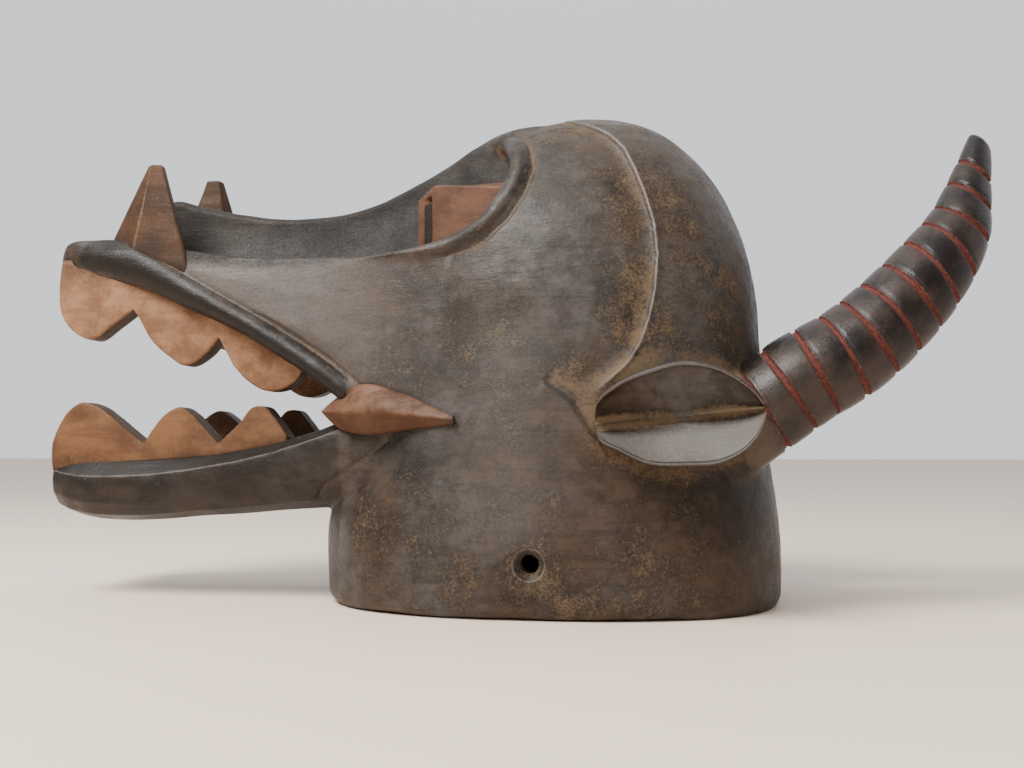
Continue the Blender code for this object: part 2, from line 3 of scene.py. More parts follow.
import bmesh
import bpy
import numpy as np
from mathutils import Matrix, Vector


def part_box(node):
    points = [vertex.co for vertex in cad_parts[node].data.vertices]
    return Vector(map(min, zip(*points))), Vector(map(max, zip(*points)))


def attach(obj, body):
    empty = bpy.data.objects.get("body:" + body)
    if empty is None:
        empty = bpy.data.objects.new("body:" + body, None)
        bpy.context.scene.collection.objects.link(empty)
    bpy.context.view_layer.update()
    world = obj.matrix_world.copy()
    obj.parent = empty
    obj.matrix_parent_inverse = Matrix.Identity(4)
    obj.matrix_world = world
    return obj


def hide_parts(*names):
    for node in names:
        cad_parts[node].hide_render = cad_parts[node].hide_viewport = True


# Helmet mask of a horned beast with open jaws, carved from one block of wood.
# Shapes are drawn in millimetres: x along the side view from the middle, y across, z up from the rim.
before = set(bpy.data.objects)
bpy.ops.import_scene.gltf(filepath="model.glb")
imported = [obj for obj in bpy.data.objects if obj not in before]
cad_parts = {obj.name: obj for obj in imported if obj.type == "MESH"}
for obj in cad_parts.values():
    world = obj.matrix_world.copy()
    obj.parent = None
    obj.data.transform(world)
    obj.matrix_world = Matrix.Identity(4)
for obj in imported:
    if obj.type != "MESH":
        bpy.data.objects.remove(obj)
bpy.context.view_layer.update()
lowCorner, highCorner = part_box("mask")

carving = {
    "millimetre": 0.001,
    "snoutX": -352.0,        # the snout's lowest x on the side drawing
    "voxel": 0.0014,
    "bodyFaces": 188000,
    "seed": 11,
    "boxMargin": 0.1,        # the body stays this far inside the solid's box
}
cameraSide = np.array([109.0, 113.0])      # the camera's x and z on the drawing
cameraReach = 800.0                        # and how far it stands from the mask's middle
shiftX = lowCorner.x - carving["snoutX"] * carving["millimetre"]
cadLimits = [np.array([corner.x - shiftX, corner.y, corner.z]) / carving["millimetre"] + inward
             for corner, inward in ((lowCorner, carving["boxMargin"]), (highCorner, -carving["boxMargin"]))]
print("stage: frame loaded, shift", round(shiftX, 4))


# Small tools for surfaces.

def toFrame(points):
    # metres = millimetres / 1000, with x moved on to the frame's middle
    placed = np.array(points, float) * carving["millimetre"]
    placed[..., 0] += shiftX
    return placed


def smoothStep(low, high, value):
    # 3t^2 - 2t^3 of the share t of the way from low to high
    t = np.clip((value - low) / (high - low), 0, 1)
    return t * t * (3 - 2 * t)


def band(value, low, high, soft):
    # 1 between low and high, falling to 0 over soft on either side
    return smoothStep(low - soft, low, value) * (1 - smoothStep(high, high + soft, value))


def near(value, middle, spread):
    # 1 at the middle, falling as exp(-((value - middle) / spread)^2)
    return np.exp(-((value - middle) / spread) ** 2)


def curveThrough(table, at):
    # cubic Hermite through the table's rows, whose first column ascends, at the places given
    table = np.array(table, float)
    x = table[:, 0]
    at = np.clip(at, x[0], x[-1])
    slopes = np.gradient(table[:, 1:], x, axis=0)
    left = np.clip(np.searchsorted(x, at, side="right") - 1, 0, len(x) - 2)
    span = (x[left + 1] - x[left])[:, None]
    t = (at - x[left])[:, None] / span
    start, end = table[left, 1:], table[left + 1, 1:]
    return ((2 * t**3 - 3 * t**2 + 1) * start + (t**3 - 2 * t**2 + t) * span * slopes[left]
            + (3 * t**2 - 2 * t**3) * end + (t**3 - t**2) * span * slopes[left + 1])


def evenly(points, count):
    # points at equal shares of the length of a smooth curve through those given
    line = np.array(points, float)
    run = np.concatenate([[0], np.cumsum(np.linalg.norm(np.diff(line, axis=0), axis=1))])
    return curveThrough(np.column_stack([run, line]), np.linspace(0, run[-1], count))


def roundOutline(corners, steps):
    # equal steps from each corner of a closed outline to the next; the last two axes are corner and place
    share = np.arange(steps)[:, None] / steps
    following = np.roll(corners, -1, -2)
    fine = corners[..., None, :] * (1 - share) + following[..., None, :] * share
    return fine.reshape(*corners.shape[:-2], -1, corners.shape[-1])


def softened(ring, rounds):
    # each round mixes half of a point with a quarter of either neighbour, round a closed outline
    for _ in range(rounds):
        ring = (np.roll(ring, 1, -2) + 2 * ring + np.roll(ring, -1, -2)) / 4
    return ring


def linked(name, data):
    # a new object in the scene, at the origin
    made = bpy.data.objects.new(name, data)
    bpy.context.scene.collection.objects.link(made)
    return made


def closedSkin(name, rings, marks=None):
    # a tube through rings[row, column], each end closed by a fan to the ring's mean
    rows, columns = rings.shape[:2]
    points = np.concatenate([rings.reshape(-1, 3), rings[0].mean(0)[None], rings[-1].mean(0)[None]])
    row, column = np.meshgrid(np.arange(rows - 1), np.arange(columns), indexing="ij")
    ahead = (column + 1) % columns
    quads = np.stack([row * columns + column, row * columns + ahead,
                      (row + 1) * columns + ahead, (row + 1) * columns + column], -1).reshape(-1, 4)
    spoke = np.arange(columns)
    after = (spoke + 1) % columns
    first, last = rows * columns, rows * columns + 1
    startFan = np.stack([after, spoke, np.full(columns, first)], -1)
    endFan = np.stack([last - 1 - columns + spoke, last - 1 - columns + after, np.full(columns, last)], -1)
    mesh = bpy.data.meshes.new(name)
    mesh.from_pydata(toFrame(points).tolist(), [], quads.tolist() + startFan.tolist() + endFan.tolist())
    for mark, values in (marks or {}).items():
        flat = np.concatenate([values.reshape(-1), [values[0].mean(), values[-1].mean()]])
        mesh.attributes.new(mark, "FLOAT", "POINT").data.foreach_set("value", flat.astype(np.float32))
    bm = bmesh.new()
    bm.from_mesh(mesh)
    bmesh.ops.remove_doubles(bm, verts=bm.verts, dist=0.00002)
    bmesh.ops.dissolve_degenerate(bm, edges=bm.edges, dist=0.000005)
    bmesh.ops.recalc_face_normals(bm, faces=bm.faces)
    bm.to_mesh(mesh)
    bm.free()
    mesh.shade_smooth()
    return linked(name, mesh)


def settle(piece):
    # the modifiers' result becomes the mesh itself
    bpy.context.view_layer.update()
    made = bpy.data.meshes.new_from_object(piece.evaluated_get(bpy.context.evaluated_depsgraph_get()))
    old = piece.data
    piece.modifiers.clear()
    piece.data = made
    bpy.data.meshes.remove(old)
    return piece


def cutAway(piece, cutter):
    # the piece less the cutter
    step = piece.modifiers.new("cut", "BOOLEAN")
    step.operation, step.solver, step.object = "DIFFERENCE", "EXACT", cutter
    return settle(piece)


def discard(piece):
    # a helper that has done its work leaves the scene
    bpy.data.objects.remove(piece, do_unlink=True)


def capRings(ring, steps):
    # a ring closes over its top: mean + (ring - mean) share, raised by the lift, for each share and lift
    middle = ring.mean(0)
    return [middle + (ring - middle) * share + [0, 0, lift] for share, lift in steps]


def ovalRings(centre, halfLength, halfWidth, height, roundness, columns):
    # superellipse: x = c + a sgn(cos)|cos|^(2/n), y = b sgn(sin)|sin|^(2/n), one ring a row
    angle = np.linspace(0, 2 * np.pi, columns, endpoint=False)
    c, s = np.cos(angle), np.sin(angle)
    power = 2 / np.broadcast_to(roundness, centre.shape)[:, None]
    x = centre[:, None] + halfLength[:, None] * np.sign(c) * np.abs(c) ** power
    y = halfWidth[:, None] * np.sign(s) * np.abs(s) ** power
    return np.stack([x, y, np.broadcast_to(height[:, None], x.shape)], -1)


def acrossRings(x, halfY, halfZ, perSide):
    # a half section (rows of y, z corners, top first) mirrored over the middle, each side in equal steps
    half = np.stack([halfY, halfZ], -1)
    fine = roundOutline(np.concatenate([half * [-1, 1], half[:, ::-1]], axis=1), perSide)
    along = np.broadcast_to(x[:, None], fine.shape[:2])
    return np.stack([along, fine[..., 0], fine[..., 1]], -1)


def tubeRings(path, wide, tall, columns):
    # an oval of half sizes wide and tall carried along the path, upright to it
    tangent = np.gradient(path, axis=0)
    tangent /= np.linalg.norm(tangent, axis=1, keepdims=True)
    side = np.cross(tangent, [0.0, 0.0, 1.0])
    side /= np.linalg.norm(side, axis=1, keepdims=True)
    over = np.cross(side, tangent)
    angle = np.linspace(0, 2 * np.pi, columns, endpoint=False)
    wide = np.broadcast_to(wide, len(path))[:, None, None]
    tall = np.broadcast_to(tall, len(path))[:, None, None]
    return (path[:, None] + side[:, None] * np.cos(angle)[:, None] * wide
            + over[:, None] * np.sin(angle)[:, None] * tall)


def gapTo(line, x, z):
    # distance to a polyline of the side view, its sign (left of its direction is +) and the share along it
    line = np.array(line, float)
    best = np.full(x.shape, 1e9)
    sign = np.zeros(x.shape)
    share = np.zeros(x.shape)
    for number, (start, end) in enumerate(zip(line, line[1:])):
        way = end - start
        t = np.clip(((x - start[0]) * way[0] + (z - start[1]) * way[1]) / (way @ way), 0, 1)
        dx, dz = x - start[0] - t * way[0], z - start[1] - t * way[1]
        gap = np.hypot(dx, dz)
        closer = gap < best
        best = np.where(closer, gap, best)
        sign = np.where(closer, np.sign(way[0] * dz - way[1] * dx), sign)
        share = np.where(closer, (number + t) / (len(line) - 1), share)
    return best, sign, share


# Head, neck and the room inside.

head = {
    "neckRows": [            # z, front x, back x, half width, roundness
        (0, -128, 212, 125.0, 2.5), (24, -130, 213, 125.0, 2.5), (62, -130, 212, 123.7, 2.4),
        (104, -117, 207, 122.5, 2.2), (150, -92, 201, 121.9, 2.3), (200, -78, 197, 119.0, 2.5)],
    "rimRounding": 4.0,
    "domeBase": 200.0, "domeRise": 171.0, "domeCentre": 75.0, "domeBack": 122.0,
    "halfWidth": 119.0, "roundness": 2.5,
    "domeFront": [(200, -78), (250, -68), (300, -42), (330, -22), (350, 0), (362, 24), (371, 60)],
    "ledge": 252.0,
    "browRear": [(252, -42), (258, -20), (268, 2), (282, 15), (300, 24), (318, 27),
                 (334, 22), (350, 10), (366, -8)],   # z, x of the recess's rear wall
    "columns": 150,
    "neckWall": 22.0, "domeWall": 26.0, "roomFloor": 160.0, "roomTop": 335.0, "roomRoundness": 2.2,
    "ropeHole": (36.0, 37.0), "ropeBore": 6.6, "ropeSink": 10.2, "ropeSinkDepth": 2.6,
}


def domeFrontAt(z):
    # x of the dome's front at the heights z
    return curveThrough(head["domeFront"], z)[:, 0]


def browAt(z):
    # x of the recess's rear wall at the heights z
    return curveThrough(head["browRear"], z)[:, 0]


def headHalfWidth(x, z):
    # half width of the dome: b cos(lean) (1 - |share|^n)^(1/n), with the lean from its height
    lean = np.arcsin(np.clip((z - head["domeBase"]) / head["domeRise"], 0, 0.999))
    front = domeFrontAt(z)
    back = head["domeCentre"] + head["domeBack"] * np.cos(lean)
    share = np.clip(np.abs(x - (front + back) / 2) / ((back - front) / 2), 0, 1)
    return head["halfWidth"] * np.cos(lean) * (1 - share ** head["roundness"]) ** (1 / head["roundness"])


def headSkin():
    # level ovals from the rim to the crown, then x held behind the brow's wall above the ledge
    z = np.concatenate([[0, 0.8, 2, 4, 7], np.linspace(11, 195, 46)])
    front, back, width, roundness = curveThrough(head["neckRows"], z).T
    inset = head["rimRounding"] * (1 - smoothStep(-3, 8, z))
    middle, half = (front + back) / 2, (back - front) / 2
    neck = ovalRings(middle, half - inset, width - inset, z, roundness, head["columns"])
    lean = np.radians(np.linspace(0, 88.5, 60))
    z = head["domeBase"] + head["domeRise"] * np.sin(lean)
    front, back = domeFrontAt(z), head["domeCentre"] + head["domeBack"] * np.cos(lean)
    dome = ovalRings((front + back) / 2, (back - front) / 2, head["halfWidth"] * np.cos(lean), z,
                     head["roundness"], head["columns"])
    rings = np.concatenate([neck, dome])
    height = rings[..., 2]
    wall = browAt(height.reshape(-1)).reshape(height.shape)
    rings[..., 0] = np.where(height > head["ledge"], np.maximum(rings[..., 0], wall), rings[..., 0])
    return closedSkin("head", rings)


def roomCutter():
    # the neck's ovals less the wall, then a dome of its own under the crown
    z = np.linspace(-20, 62, 12)
    front, back, width, roundness = curveThrough(head["neckRows"], np.clip(z, 0, 62)).T
    wall = head["neckWall"]
    neck = ovalRings((front + back) / 2, (back - front) / 2 - wall, width - wall, z, roundness, 110)
    lean = np.radians(np.linspace(0, 88, 36))
    z = head["roomFloor"] + (head["roomTop"] - head["roomFloor"]) * np.sin(lean)
    length = (head["domeBack"] - head["domeWall"]) * 1.04 * np.cos(lean)
    width = (head["halfWidth"] - head["domeWall"]) * np.cos(lean)
    dome = ovalRings(np.full_like(z, head["domeCentre"]), length, width, z, head["roomRoundness"], 110)
    return closedSkin("room", np.concatenate([neck, dome]))


def borer(radius, low, high):
    # a round bar across the mask at the rope hole
    x, z = head["ropeHole"]
    angle = np.linspace(0, 2 * np.pi, 40, endpoint=False)
    ring = np.stack([x + radius * np.cos(angle), np.zeros(40), z + radius * np.sin(angle)], -1)
    return closedSkin("borer", np.stack([ring + [0, low, 0], ring + [0, high, 0]]))


# Muzzle, nose ridge, lower jaw, lip and brow.

snout = {
    "muzzle": [              # x, half width, ledge z, underside z
        (-347, 43, 269, 253), (-343, 49, 276, 250), (-335, 53, 278.5, 248), (-318, 55, 279, 246),
        (-296, 56, 278.5, 242), (-268, 56, 274, 235), (-233, 57, 267, 226), (-200, 60, 262, 209),
        (-162, 66, 258, 191), (-125, 75, 256, 172), (-100, 82, 254, 150), (-72, 89, 253, 122),
        (-45, 95, 252, 108), (-15, 97, 248, 100), (25, 92, 236, 100)],
    "muzzleFlare": 6.0,
    "nose": [                # x, top z, half width at the top, half width at the foot
        (-291, 309, 8, 17), (-272, 319, 12, 22), (-246, 313.5, 12, 24), (-212, 306.5, 12, 26),
        (-165, 301.5, 13, 28), (-124, 304.5, 15, 31), (-94, 312, 18, 36), (-64, 325, 22, 43),
        (-34, 340, 28, 51), (-10, 353, 36, 60), (15, 362, 42, 66), (50, 366, 36, 62)],
    "noseFoot": 254.0, "noseBase": 240.0, "noseHollow": 1.7,
    "jaw": [                 # x, half width, underside z, outer edge z, inner edge z
        (-352, 37, 77, 99, 103), (-349, 45, 70, 98, 104), (-340, 52, 64, 96, 105),
        (-322, 57, 59, 93, 105), (-297, 59, 57, 92.5, 105), (-263, 61, 58, 94, 106),
        (-229, 63, 61, 98, 108), (-195, 66, 63, 103.5, 112), (-161, 69, 66, 111, 119),
        (-128, 74, 68, 121, 128), (-100, 80, 70, 130, 138), (-60, 84, 74, 136, 146)],
    "jawBand": 11.0,
    "lip": [                 # x, half width, z from the corner of the mouth to the snout
        (-98, 82, 152), (-120, 78, 169), (-150, 71, 188), (-175, 67, 203), (-200, 63, 216.5),
        (-229, 60, 231), (-262, 56, 248), (-290, 52, 259), (-315, 49, 264.5), (-336.5, 42, 265.5),
        (-343, 24, 266)],
    # x, half width and half height of the lip
    "lipHalf": [(-343, 8.3, 9.6), (-336, 8.6, 10.6), (-315, 9.6, 14.0), (-290, 10.0, 16.0),
                (-264, 10.2, 13.4), (-229, 9.6, 10.8), (-190, 8.8, 8.6), (-98, 8.2, 8.0)],
    "bead": [                # x, z, radius, least distance from the middle
        (-98, 252.0, 1.2, 81), (-75, 252.3, 2.4, 87), (-58, 252.6, 3.8, 91), (-42, 253.6, 5.4, 93),
        (-24, 257.5, 6.8, 92), (-4, 266, 7.6, 88), (11, 280, 8.0, 60), (21, 297, 8.2, 50), (26, 315, 8.2, 45),
        (23, 330, 8.2, 42), (17, 340, 8.0, 38), (9, 346.5, 7.2, 33), (0, 348, 6.0, 25)],
}


def muzzleSkin():
    # rounded block, section by section: corners are shares of the way from ledge to underside
    x = np.linspace(-347, 25, 150)
    width, ledge, foot = curveThrough(snout["muzzle"], x).T
    tall = ledge - foot
    zero = np.zeros_like(x)
    out = snout["muzzleFlare"] * smoothStep(-335, -250, x)
    halfY = np.stack([zero, width - 3, width - 0.8, width, width + 0.7 * out, width + out, width - 3,
                      width - 12, zero], -1)
    halfZ = np.stack([ledge, ledge, ledge - 0.8, ledge - 3, ledge - 0.35 * tall, ledge - 0.7 * tall,
                      foot + 2, foot, foot], -1)
    return closedSkin("muzzle", acrossRings(x, halfY, halfZ, 5))


def noseSkin():
    # ridge whose flank is crest + share^hollow (foot - crest) wide, so it hollows towards the ledge
    x = np.linspace(-291, 50, 170)
    top, crest, foot = curveThrough(snout["nose"], x).T
    share = np.linspace(0, 1, 15)
    flankY = crest[:, None] + share ** snout["noseHollow"] * (foot - crest)[:, None]
    flankZ = (top - 5)[:, None] - share * (top - 5 - snout["noseFoot"])[:, None]
    zero = np.zeros_like(x)[:, None]
    base = np.full_like(zero, snout["noseBase"])
    top, crest, foot = top[:, None], crest[:, None], foot[:, None]
    halfY = np.concatenate([zero, 0.5 * crest, 0.82 * crest, flankY, foot + 1, zero], 1)
    halfZ = np.concatenate([top, top - 0.8, top - 2.6, flankZ, base, base], 1)
    return closedSkin("nose", acrossRings(x, halfY, halfZ, 2))


def jawSkin():
    # boat with a sloping band along its edge and a level bed for the teeth
    x = np.linspace(-352, -60, 120)
    width, foot, outer, inner = curveThrough(snout["jaw"], x).T
    tall = outer - foot
    zero = np.zeros_like(x)
    halfY = np.stack([zero, width - snout["jawBand"] - 4, width - snout["jawBand"], width, width + 1,
                      width - 1, 0.82 * width, 0.5 * width, zero], -1)
    halfZ = np.stack([inner - 3, inner, inner, outer, outer - 0.25 * tall, outer - 0.55 * tall,
                      foot + 0.16 * tall, foot + 0.02 * tall, foot], -1)
    return closedSkin("jaw", acrossRings(x, halfY, halfZ, 5))


def lipSkin():
    # a roll from one corner of the mouth round the snout to the other
    nearHalf = np.array(snout["lip"], float) * [1, -1, 1]
    path = evenly(np.concatenate([nearHalf, nearHalf[::-1] * [1, -1, 1]]), 260)
    wide, tall = curveThrough(snout["lipHalf"], path[:, 0]).T
    return closedSkin("lip", tubeRings(path, wide, tall, 32))


def browSkin(side):
    # a bead that swells out of the ledge's edge and runs up the recess's rear wall on the head's surface
    x, z, radius, least = evenly(snout["bead"], 120).T
    depth = np.maximum(headHalfWidth(x + 2, z) - 0.5 * radius, least)
    depth = np.convolve(np.pad(depth, 5, "edge"), np.ones(11) / 11, "valid")
    path = np.stack([x, side * depth, z], -1)
    return closedSkin("brow", tubeRings(path, radius, radius, 20))


# The body is joined, made one skin, and carved.

cuts = {
    "capEdge": [(43, 380), (59, 360), (76, 350), (88, 341), (99, 327), (107, 308), (114, 287),
                (119, 267), (121, 245), (119, 221), (115, 202), (109, 185), (101, 172), (83, 155)],
    "capRaise": 2.2, "capLip": 1.0, "templeHollow": 1.8,
    "cheekCrease": [(44, 160), (64, 146), (80, 122)], "cheekRaise": 1.6, "cheekHollow": 2.4,
    "jawCrease": [(-130, 74), (-121, 86), (-109, 94), (-92, 104), (-77, 114), (-70, 120)],
    "jawCreaseDepth": 1.7,
    "lipRecess": 1.6, "browGroove": 1.7,
    "toolMarks": 0.45,
    "rimGap": 1.6,
}

patinaAndLight = {                   # strength of each mark, 0 none, 1 full; wear and soot include painted sheen and painted shade
    "dust": {"capStep": 0.25, "temple": 0.42, "cap": 0.33, "bead": 0.4, "cheek": 0.6, "jawCrease": 0.35,
             "lip": 0.4, "hollows": 0.5, "ear": 0.7, "hornRoot": 0.15, "foot": 0.26},
    # wear: ledge and neck are painted sheen, the edges real wear
    "wearAndSheen": {"ledge": 0.62, "neck": 0.32, "snoutEdges": 0.3, "edges": 0.45},
    # soot: recess and cheek are painted shade, underTusk a painted shadow, lip and jawBand black wax; nose,
    # jaw, neckBack and ropeRing darken their places
    "sootAndShade": {"recess": 0.8, "nose": 0.9, "cheek": 0.7, "lip": 1.0, "jawBand": 0.9, "jaw": 0.7,
             "underTusk": 0.75, "neckBack": 0.5, "ropeRing": 0.7},
    "line": {"cap": 1.0, "jaw": 0.6, "ropeRing": 0.5},       # thin pale lines: painted highlights on the cap's and jaw's edges, a rubbed edge round the rope hole
}


def neighbourMean(values, edges, counts):
    # mean of the vertices at the other ends of each vertex's edges
    total = np.stack([
        np.bincount(edges[:, 0], values[edges[:, 1], k], len(values))
        + np.bincount(edges[:, 1], values[edges[:, 0], k], len(values))
        for k in range(values.shape[1])], -1)
    return total / counts[:, None]


def relax(points, edges, counts, weight, rounds):
    # each round moves a point half way to its neighbours' mean, times its weight
    for _ in range(rounds):
        points = points + 0.5 * weight[:, None] * (neighbourMean(points, edges, counts) - points)
    return points


def waver(points, length, count, dice):
    # sum of sine waves in random directions about the given length, so a slow unevenness of 0 +- 1
    turn = dice.normal(size=(count, 3))
    turn /= np.linalg.norm(turn, axis=1, keepdims=True)
    turn *= (2 * np.pi / length) * dice.uniform(0.6, 1.6, (count, 1))
    return np.sin(points @ turn.T + dice.uniform(0, 6.28, count)).sum(1) / math.sqrt(count)


def readPoints(mesh):
    # the mesh's points in the carving's millimetres
    points = np.empty(len(mesh.vertices) * 3, np.float32)
    mesh.vertices.foreach_get("co", points)
    points = points.reshape(-1, 3).astype(float)
    points[:, 0] -= shiftX
    return points / carving["millimetre"]


def writePoints(mesh, points):
    # the carving's millimetres back into the mesh
    mesh.vertices.foreach_set("co", toFrame(points).astype(np.float32).reshape(-1))
    mesh.update()


def readNormals(mesh):
    # outward unit normals, one a point
    normals = np.empty(len(mesh.vertices) * 3, np.float32)
    mesh.vertex_normals.foreach_get("vector", normals)
    return normals.reshape(-1, 3).astype(float)


def setMark(mesh, name, values):
    # one value a point, which the finishes read by its name
    mark = mesh.attributes.get(name) or mesh.attributes.new(name, "FLOAT", "POINT")
    mark.data.foreach_set("value", values.astype(np.float32))


def carveBody(mesh):
    # height added along the normal = sum of ridges and grooves, each a function of its side-view distance;
    # dust, wear and soot are sums of the same kind, kept as marks for the finish; wear holds painted sheen as
    # well as rubbed edges, soot painted shade and shadow as well as black wax
    dice = np.random.default_rng(carving["seed"])
    edges = np.empty(len(mesh.edges) * 2, np.int32)
    mesh.edges.foreach_get("vertices", edges)
    edges = edges.reshape(-1, 2)
    counts = np.maximum(np.bincount(edges.reshape(-1), minlength=len(mesh.vertices)), 1)
    points = readPoints(mesh)
    x, y, z = points.T
    cheek = band(x, -95, 40, 25) * band(z, 96, 236, 14) * smoothStep(66, 84, np.abs(y))
    throat = band(x, -112, -40, 14) * band(z, 60, 150, 14) * 0.5
    front = (1 - smoothStep(-300, -270, x)) * smoothStep(264, 270, z) * 0.9
    crown = band(x, -10, 26, 10) * band(z, 338, 362, 8) * 0.8
    hornRoot = band(x, 176, 214, 14) * band(z, 100, 196, 14) * smoothStep(20, 30, np.abs(y)) * 0.9
    points = relax(points, edges, counts, np.full(len(points), 0.9), 3)
    points = relax(points, edges, counts, np.clip(cheek + throat + front + crown + hornRoot, 0, 1), 55)
    writePoints(mesh, points)
    normals = readNormals(mesh)
    x, y, z = points.T
    outward = points - np.stack([np.full_like(x, 60), np.zeros_like(x), np.minimum(z, 190)], -1)
    outside = smoothStep(-0.05, 0.25, (outward * normals).sum(1) / np.linalg.norm(outward, axis=1))
    flank = smoothStep(0.15, 0.5, np.abs(normals[:, 1])) * outside
    height = np.zeros(len(points))
    dust = np.zeros(len(points))
    wearAndSheen = np.zeros(len(points))
    sootAndShade = np.zeros(len(points))

    dusty, worn, black, line = (patinaAndLight[kind] for kind in ("dust", "wearAndSheen", "sootAndShade", "line"))

    # cap: a step up behind its edge, a thin lip on the edge, a hollow temple before it
    gap, sign, share = gapTo(cuts["capEdge"], x, z)
    behind = gap * sign
    fade = smoothStep(148, 166, z) * outside * smoothStep(-20, 30, x)
    height += fade * (1 - 0.75 * smoothStep(346, 366, z)) * (
        cuts["capRaise"] * smoothStep(-0.8, 0.8, behind) + cuts["capLip"] * near(behind, 1.2, 1.4)
        - cuts["templeHollow"] * near(behind, -8, 8) * (z < 352))
    dust += fade * (dusty["capStep"] * near(behind, -2.4, 2.2) + dusty["temple"] * near(behind, -10, 18)
                    + dusty["cap"] * smoothStep(3, 12, behind))
    # painted highlight: a thin pale line along the cap's edge, laid through lineGap and lineFade
    lineGap, lineFade = behind - 0.8, line["cap"] * fade

    # groove behind the brow's bead, painted shade in the recess before it, and the nose darkened along its
    # flank
    bead = np.array(snout["bead"])
    gap, sign, share = gapTo(bead[:, :2], x, z)
    radius = np.interp(share, np.linspace(0, 1, len(bead)), bead[:, 2])
    groove = flank * ((sign < 0) & (x > -36) & (z > 250)) * band(share, 0.36, 0.86, 0.10)
    height -= cuts["browGroove"] * groove * near(gap, radius + 1.6, 1.6)
    dust += dusty["bead"] * groove * near(gap, radius + 3, 3.5)
    recess = ((sign > 0) & (z > 256) & (x < 40)) * smoothStep(radius - 1, radius + 6, gap)
    # painted shade: the recess before the bead is darkened
    sootAndShade += black["recess"] * recess * smoothStep(-75, -20, x)
    sootAndShade += black["nose"] * band(x, -300, -60, 20) * smoothStep(254, 260, z)

    # cheek: raised in front of a short crease, hollow before the ear, with painted shade along the crease
    gap, sign, share = gapTo(cuts["cheekCrease"], x, z)
    ends = flank * band(share, 0.12, 1.1, 0.12)
    lean = smoothStep(-3.5, 3.5, np.where(sign < 0, gap, -gap))
    height += ends * (cuts["cheekRaise"] * lean * near(gap, 0, 14)
                      - cuts["cheekHollow"] * (1 - lean) * near(gap, 0, 9))
    dust += dusty["cheek"] * ends * (1 - lean) * near(gap, 7, 7)
    # painted shade: a dark line along the crease
    sootAndShade += black["cheek"] * ends * near(gap, 1, 2.5)

    # crease where the jaw runs into the neck
    gap, sign, share = gapTo(cuts["jawCrease"], x, z)
    height -= cuts["jawCreaseDepth"] * flank * near(gap, 0, 2)
    dust += dusty["jawCrease"] * flank * near(gap, 0, 3.5)

    # recess along the upper side of the lip, the lip black, the ledge's side lightened by a painted sheen
    gap, sign, share = gapTo([(lx, lz) for lx, _, lz in snout["lip"][:-2]], x, z)
    roll = (1 - smoothStep(9, 12.5, gap)) * (x < -100)
    sootAndShade += black["lip"] * roll * flank
    ledge = smoothStep(-330, -300, x) * (1 - smoothStep(-150, 5, x)) * (1 - smoothStep(250, 253, z))
    # painted sheen: the ledge's side is lightened with the worn colour
    wearAndSheen += worn["ledge"] * flank * ledge * smoothStep(-4, 14, z + 0.62 * x - 82) * (1 - roll)
    above = flank * ((sign < 0) & (np.abs(y) > 30))
    height -= cuts["lipRecess"] * above * near(gap, 10.5, 2) * smoothStep(-250, -225, x)
    dust += dusty["lip"] * above * near(gap, 12, 4) * smoothStep(-260, -120, x)

    # the jaw's edge: a painted highlight line on its corner and black on the band above it
    gap, sign, share = gapTo([(jx, outer) for jx, _, _, outer, _ in snout["jaw"][:-1]], x, z)
    jaw = flank * ((x < -100) & (z < 150))
    lineGap = np.where(jaw > 0.3, gap * sign, lineGap)
    lineFade = np.maximum(lineFade, line["jaw"] * jaw)
    sootAndShade += black["jawBand"] * jaw * (sign > 0) * band(gap, 1.5, 14, 1.5)
    sootAndShade += black["jaw"] * ((x < -108) & (z < 124))

    # neck: a painted sheen down its middle, a painted shadow under the corner tusk, and darker low towards
    # the back
    wearAndSheen += worn["neck"] * flank * near(x, 22, 36) * band(z, 70, 185, 40)
    sootAndShade += black["underTusk"] * flank * near(x, -46, 46) * near(z, 112, 15)
    sootAndShade += black["neckBack"] * flank * band(x, 168, 205, 24) * band(z, 55, 98, 18)

    # rope hole: a dark sunk ring with a rubbed edge
    ring = np.hypot(x - head["ropeHole"][0], z - head["ropeHole"][1])
    sootAndShade += black["ropeRing"] * flank * band(ring, 5, 9.5, 1)
    lineGap = np.where(ring < 20, ring - 10.8, lineGap)
    lineFade = np.maximum(lineFade, line["ropeRing"] * flank * (ring < 20))

    # tool marks, a slow waver and an uneven rim
    slow = waver(points, 75, 26, dice)
    quick = waver(points, 22, 30, dice)
    height += cuts["toolMarks"] * (0.45 * slow + 0.3 * quick) * outside
    points = points + normals * height[:, None]
    uneven = 0.45 + 0.6 * waver(points * [1, 1, 0], 120, 10, dice) + 0.4 * band(x, -120, 120, 60)
    points[:, 2] += (1 - smoothStep(1.0, 6.0, z)) * cuts["rimGap"] * np.clip(uneven, 0, 1)
    points = np.clip(points, *cadLimits)

